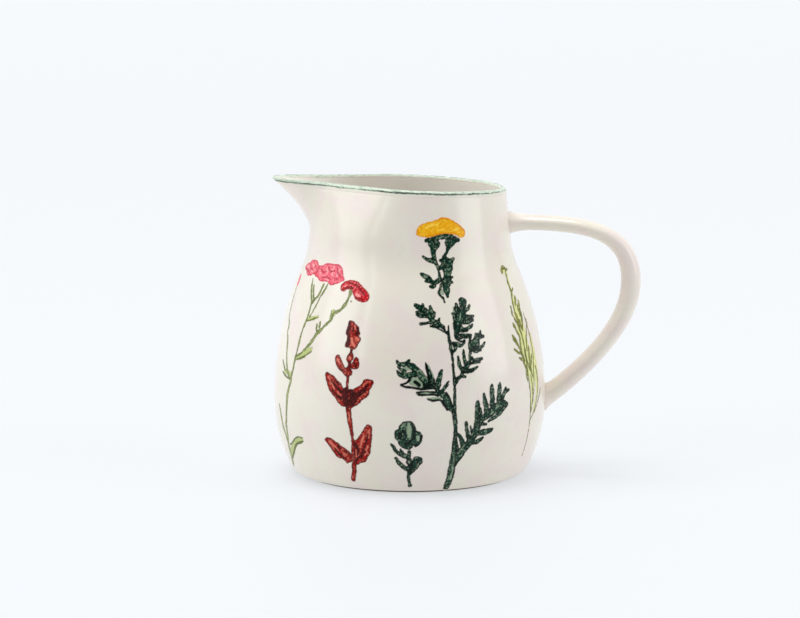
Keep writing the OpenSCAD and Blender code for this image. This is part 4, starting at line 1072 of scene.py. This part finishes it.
for plantName, (plant, slotName, node, frontAngle, backAngle, spread) in plantPlaces.items():
    flat = flatSkin(plantName, plant, spread)
    title = plantName[0].upper() + plantName[1:]
    layOnWall("front" + title, flat, frontAngle, stains[slotName], "front_" + node)
    layOnWall("back" + title, flat, backAngle, stains[slotName], "back_" + node)
    bpy.data.meshes.remove(flat[0])

# painted rim: a dark line on the lip's outer edge, pale green over the lip and a broken line on top

rimPaint = {
    "below": 1.4,            # how far the skin reaches down the outer wall
    "inside": 1.0,           # and down the inner wall
    "proud": 0.05,
    "sunk": -0.2,
    "outerLine": 0.75,
    "innerLine": 0.8,
    "rounds": 720,
}


def makeRimBand():
    lipZ, turn = rimZ - lipR, pi * lipR
    low, high = lipZ - rimPaint["below"], lipZ - rimPaint["inside"]
    ways = {}
    for side in ("proud", "sunk"):
        off = rimPaint[side]
        ways[side] = [(float(outerRadius(z)) + off, z) for z in steps(low, lipZ, 6)[:-1]]
        ways[side] += [lipPoint(k, off) for k in steps(0, 1, 28)]
        ways[side] += [(innerRadius(z) - off, z) for z in steps(lipZ, high, 4)[1:]]
    bm = bmesh.new()
    spinRound(bm, ways["proud"] + ways["sunk"][::-1] + ways["proud"][:1], rimPaint["rounds"])
    spots = allPoints(bm)
    r, angle = np.hypot(spots[:, 0], spots[:, 1]), np.degrees(np.arctan2(spots[:, 1], spots[:, 0]))
    # s runs over the lip in millimetres, from the top of the outer wall
    over = lipR * np.arctan2(spots[:, 2] - lipZ, r - rimR + lipR)
    s = np.where(spots[:, 2] > lipZ, over, np.where(r > rimR - lipR, spots[:, 2] - lipZ,
        turn + lipZ - spots[:, 2]))
    u, v = spots[:, 0] + 1.7 * s, spots[:, 1] - 1.3 * s
    # the brush pressed hardest in front and beside the spout
    press = np.interp(angle, [-180, -160, -140, -122, -108, -60, -45, 0, 40, 150, 180],
        [0.85, 0.85, 0.55, 0.5, 1, 1, 0.6, 0.4, 0.5, 0.6, 0.85])
    wander = np.abs(s - 0.3 + 0.4 * (grain(u, v, 5.0, 31) - 0.5))
    breadth = rimPaint["outerLine"] * press * (0.3 + 0.5 * grain(u, v, 2.4, 32))
    outer = smooth(0.5 - (wander - breadth) / 0.3)
    outer = outer * smooth((grain(u, v, 1.1, 33) + press - 0.62) / 0.3)
    breadth = rimPaint["innerLine"] * (0.2 + 0.5 * grain(u, v, 3.0, 34))
    inner = smooth(0.5 - (np.abs(s - 2.9) - breadth) / 0.3) * smooth((grain(u, v, 1.6, 35) - 0.36) / 0.2)
    cover = smooth((s + 0.25 + 0.5 * grain(u, v, 1.5, 36)) / 0.4)
    cover = cover * smooth((4.3 - s + 0.8 * grain(u, v, 1.5, 37)) / 0.7)
    line = np.maximum(outer, 0.8 * inner)
    paint = np.stack([np.maximum(cover, outer), line, 1 - 0.5 * smooth((grain(u, v, 0.9, 38) - 0.62) / 0.1),
        np.full(len(s), 0.5)], axis=1)
    moveVerts(bm, shaped(spots))
    piece = finishPiece(bm, "paintedRim", stains["rim_green"], ["rim_band"])
    piece.data.attributes.new("paint", "FLOAT_COLOR", "POINT").data.foreach_set("color", paint.ravel())


makeRimBand()

# floor, light and camera

studio = {
    "floor": "8E9092",
    "floorGlow": 0.56,       # the white paper is lit so evenly that shadows hardly show
    "sky": "F6F9FC",
    "skyBehind": 0.95,       # brightness of the white room behind, at the sides and above
    "skyFront": 0.12,        # and low down on the camera's side
    "skyTop": 0.55,          # share of that brightness left overhead
    "overhead": 2.3,
    "overheadSpread": 45.0,
    "overheadFrom": (-0.12, 0.06, 1.0),
    # where each box stands, its size in metres and its power in watts
    "softboxes": {
        "leftSoftbox": ((-1.7, -0.6, 0.7), (1.1, 1.1), 7.5),
        "rightSoftbox": ((1.75, -0.5, 0.6), (1.1, 1.1), 8.0),
        "leftStrip": ((-1.0, -1.1, 0.75), (0.1, 0.9), 0.9),
    },
    "aim": (0, 0, 0.1),
}
cameraSet = {
    "lens": 107.2,
    "place": (-0.00528, -1.2739, 0.2688),
    "lookDown": 8.07,
}


def makeFloor():
    bm = bmesh.new()
    bmesh.ops.create_grid(bm, x_segments=2, y_segments=2, size=30.0)
    mesh = bpy.data.meshes.new("floor")
    bm.to_mesh(mesh)
    bm.free()
    floor = bpy.data.objects.new("floor", mesh)
    bpy.context.scene.collection.objects.link(floor)
    material, tree = newMaterial("whitePaperFloor")
    shader = addNode(tree, "ShaderNodeBsdfPrincipled", inputs={"Base Color": linear(studio["floor"]),
        "Roughness": 0.6, "Specular IOR Level": 0.2, "Emission Color": linear(studio["sky"]),
        "Emission Strength": studio["floorGlow"]})
    addNode(tree, "ShaderNodeOutputMaterial", inputs={"Surface": shader.outputs[0]})
    mesh.materials.append(material)


def facing(start, end):
    return (Vector(end) - Vector(start)).to_track_quat("-Z", "Y").to_euler()


def makeSoftbox(name, place, size, power):
    lamp = bpy.data.lights.new(name, "AREA")
    lamp.shape = "RECTANGLE"
    lamp.size, lamp.size_y = size
    lamp.energy = power
    holder = bpy.data.objects.new(name, lamp)
    holder.location = place
    holder.rotation_euler = facing(place, studio["aim"])
    bpy.context.scene.collection.objects.link(holder)


def makeStudio():
    makeFloor()
    world = bpy.data.worlds.new("whiteRoom")
    bpy.context.scene.world = world
    world.use_nodes = True
    world.node_tree.nodes.clear()
    tree = world.node_tree
    around = addNode(tree, "ShaderNodeTexCoord")
    way = addNode(tree, "ShaderNodeSeparateXYZ", inputs={0: around.outputs["Generated"]})
    front = addNode(tree, "ShaderNodeMapRange", {"interpolation_type": "SMOOTHSTEP"},
        {0: way.outputs[1], 1: -0.98, 2: -0.3, 3: studio["skyFront"], 4: studio["skyBehind"]})
    top = addNode(tree, "ShaderNodeMapRange", {"interpolation_type": "SMOOTHSTEP"},
        {0: way.outputs[2], 1: 0.2, 2: 0.9, 3: 1.0, 4: studio["skyTop"]})
    strength = addNode(tree, "ShaderNodeMath", {"operation": "MULTIPLY"},
        {0: front.outputs[0], 1: top.outputs[0]})
    sky = addNode(tree, "ShaderNodeBackground", inputs={"Color": linear(studio["sky"]),
        "Strength": strength.outputs[0]})
    addNode(tree, "ShaderNodeOutputWorld", inputs={"Surface": sky.outputs[0]})
    overhead = bpy.data.lights.new("overheadPanel", "SUN")
    overhead.energy = studio["overhead"]
    overhead.angle = radians(studio["overheadSpread"])
    panel = bpy.data.objects.new("overheadPanel", overhead)
    panel.rotation_euler = facing(studio["overheadFrom"], (0, 0, 0))
    bpy.context.scene.collection.objects.link(panel)
    for name, (place, size, power) in studio["softboxes"].items():
        makeSoftbox(name, place, size, power)
    bpy.context.scene.view_settings.view_transform = "Standard"


def makeCamera():
    lens = bpy.data.cameras.new("camera")
    lens.lens = cameraSet["lens"]
    lens.sensor_width = 36.0
    lens.clip_end = 100.0
    camera = bpy.data.objects.new("camera", lens)
    camera.location = cameraSet["place"]
    camera.rotation_euler = (radians(90 - cameraSet["lookDown"]), 0, 0)
    bpy.context.scene.collection.objects.link(camera)
    bpy.context.scene.camera = camera


makeStudio()
makeCamera()
print("floor, light and camera are in place")
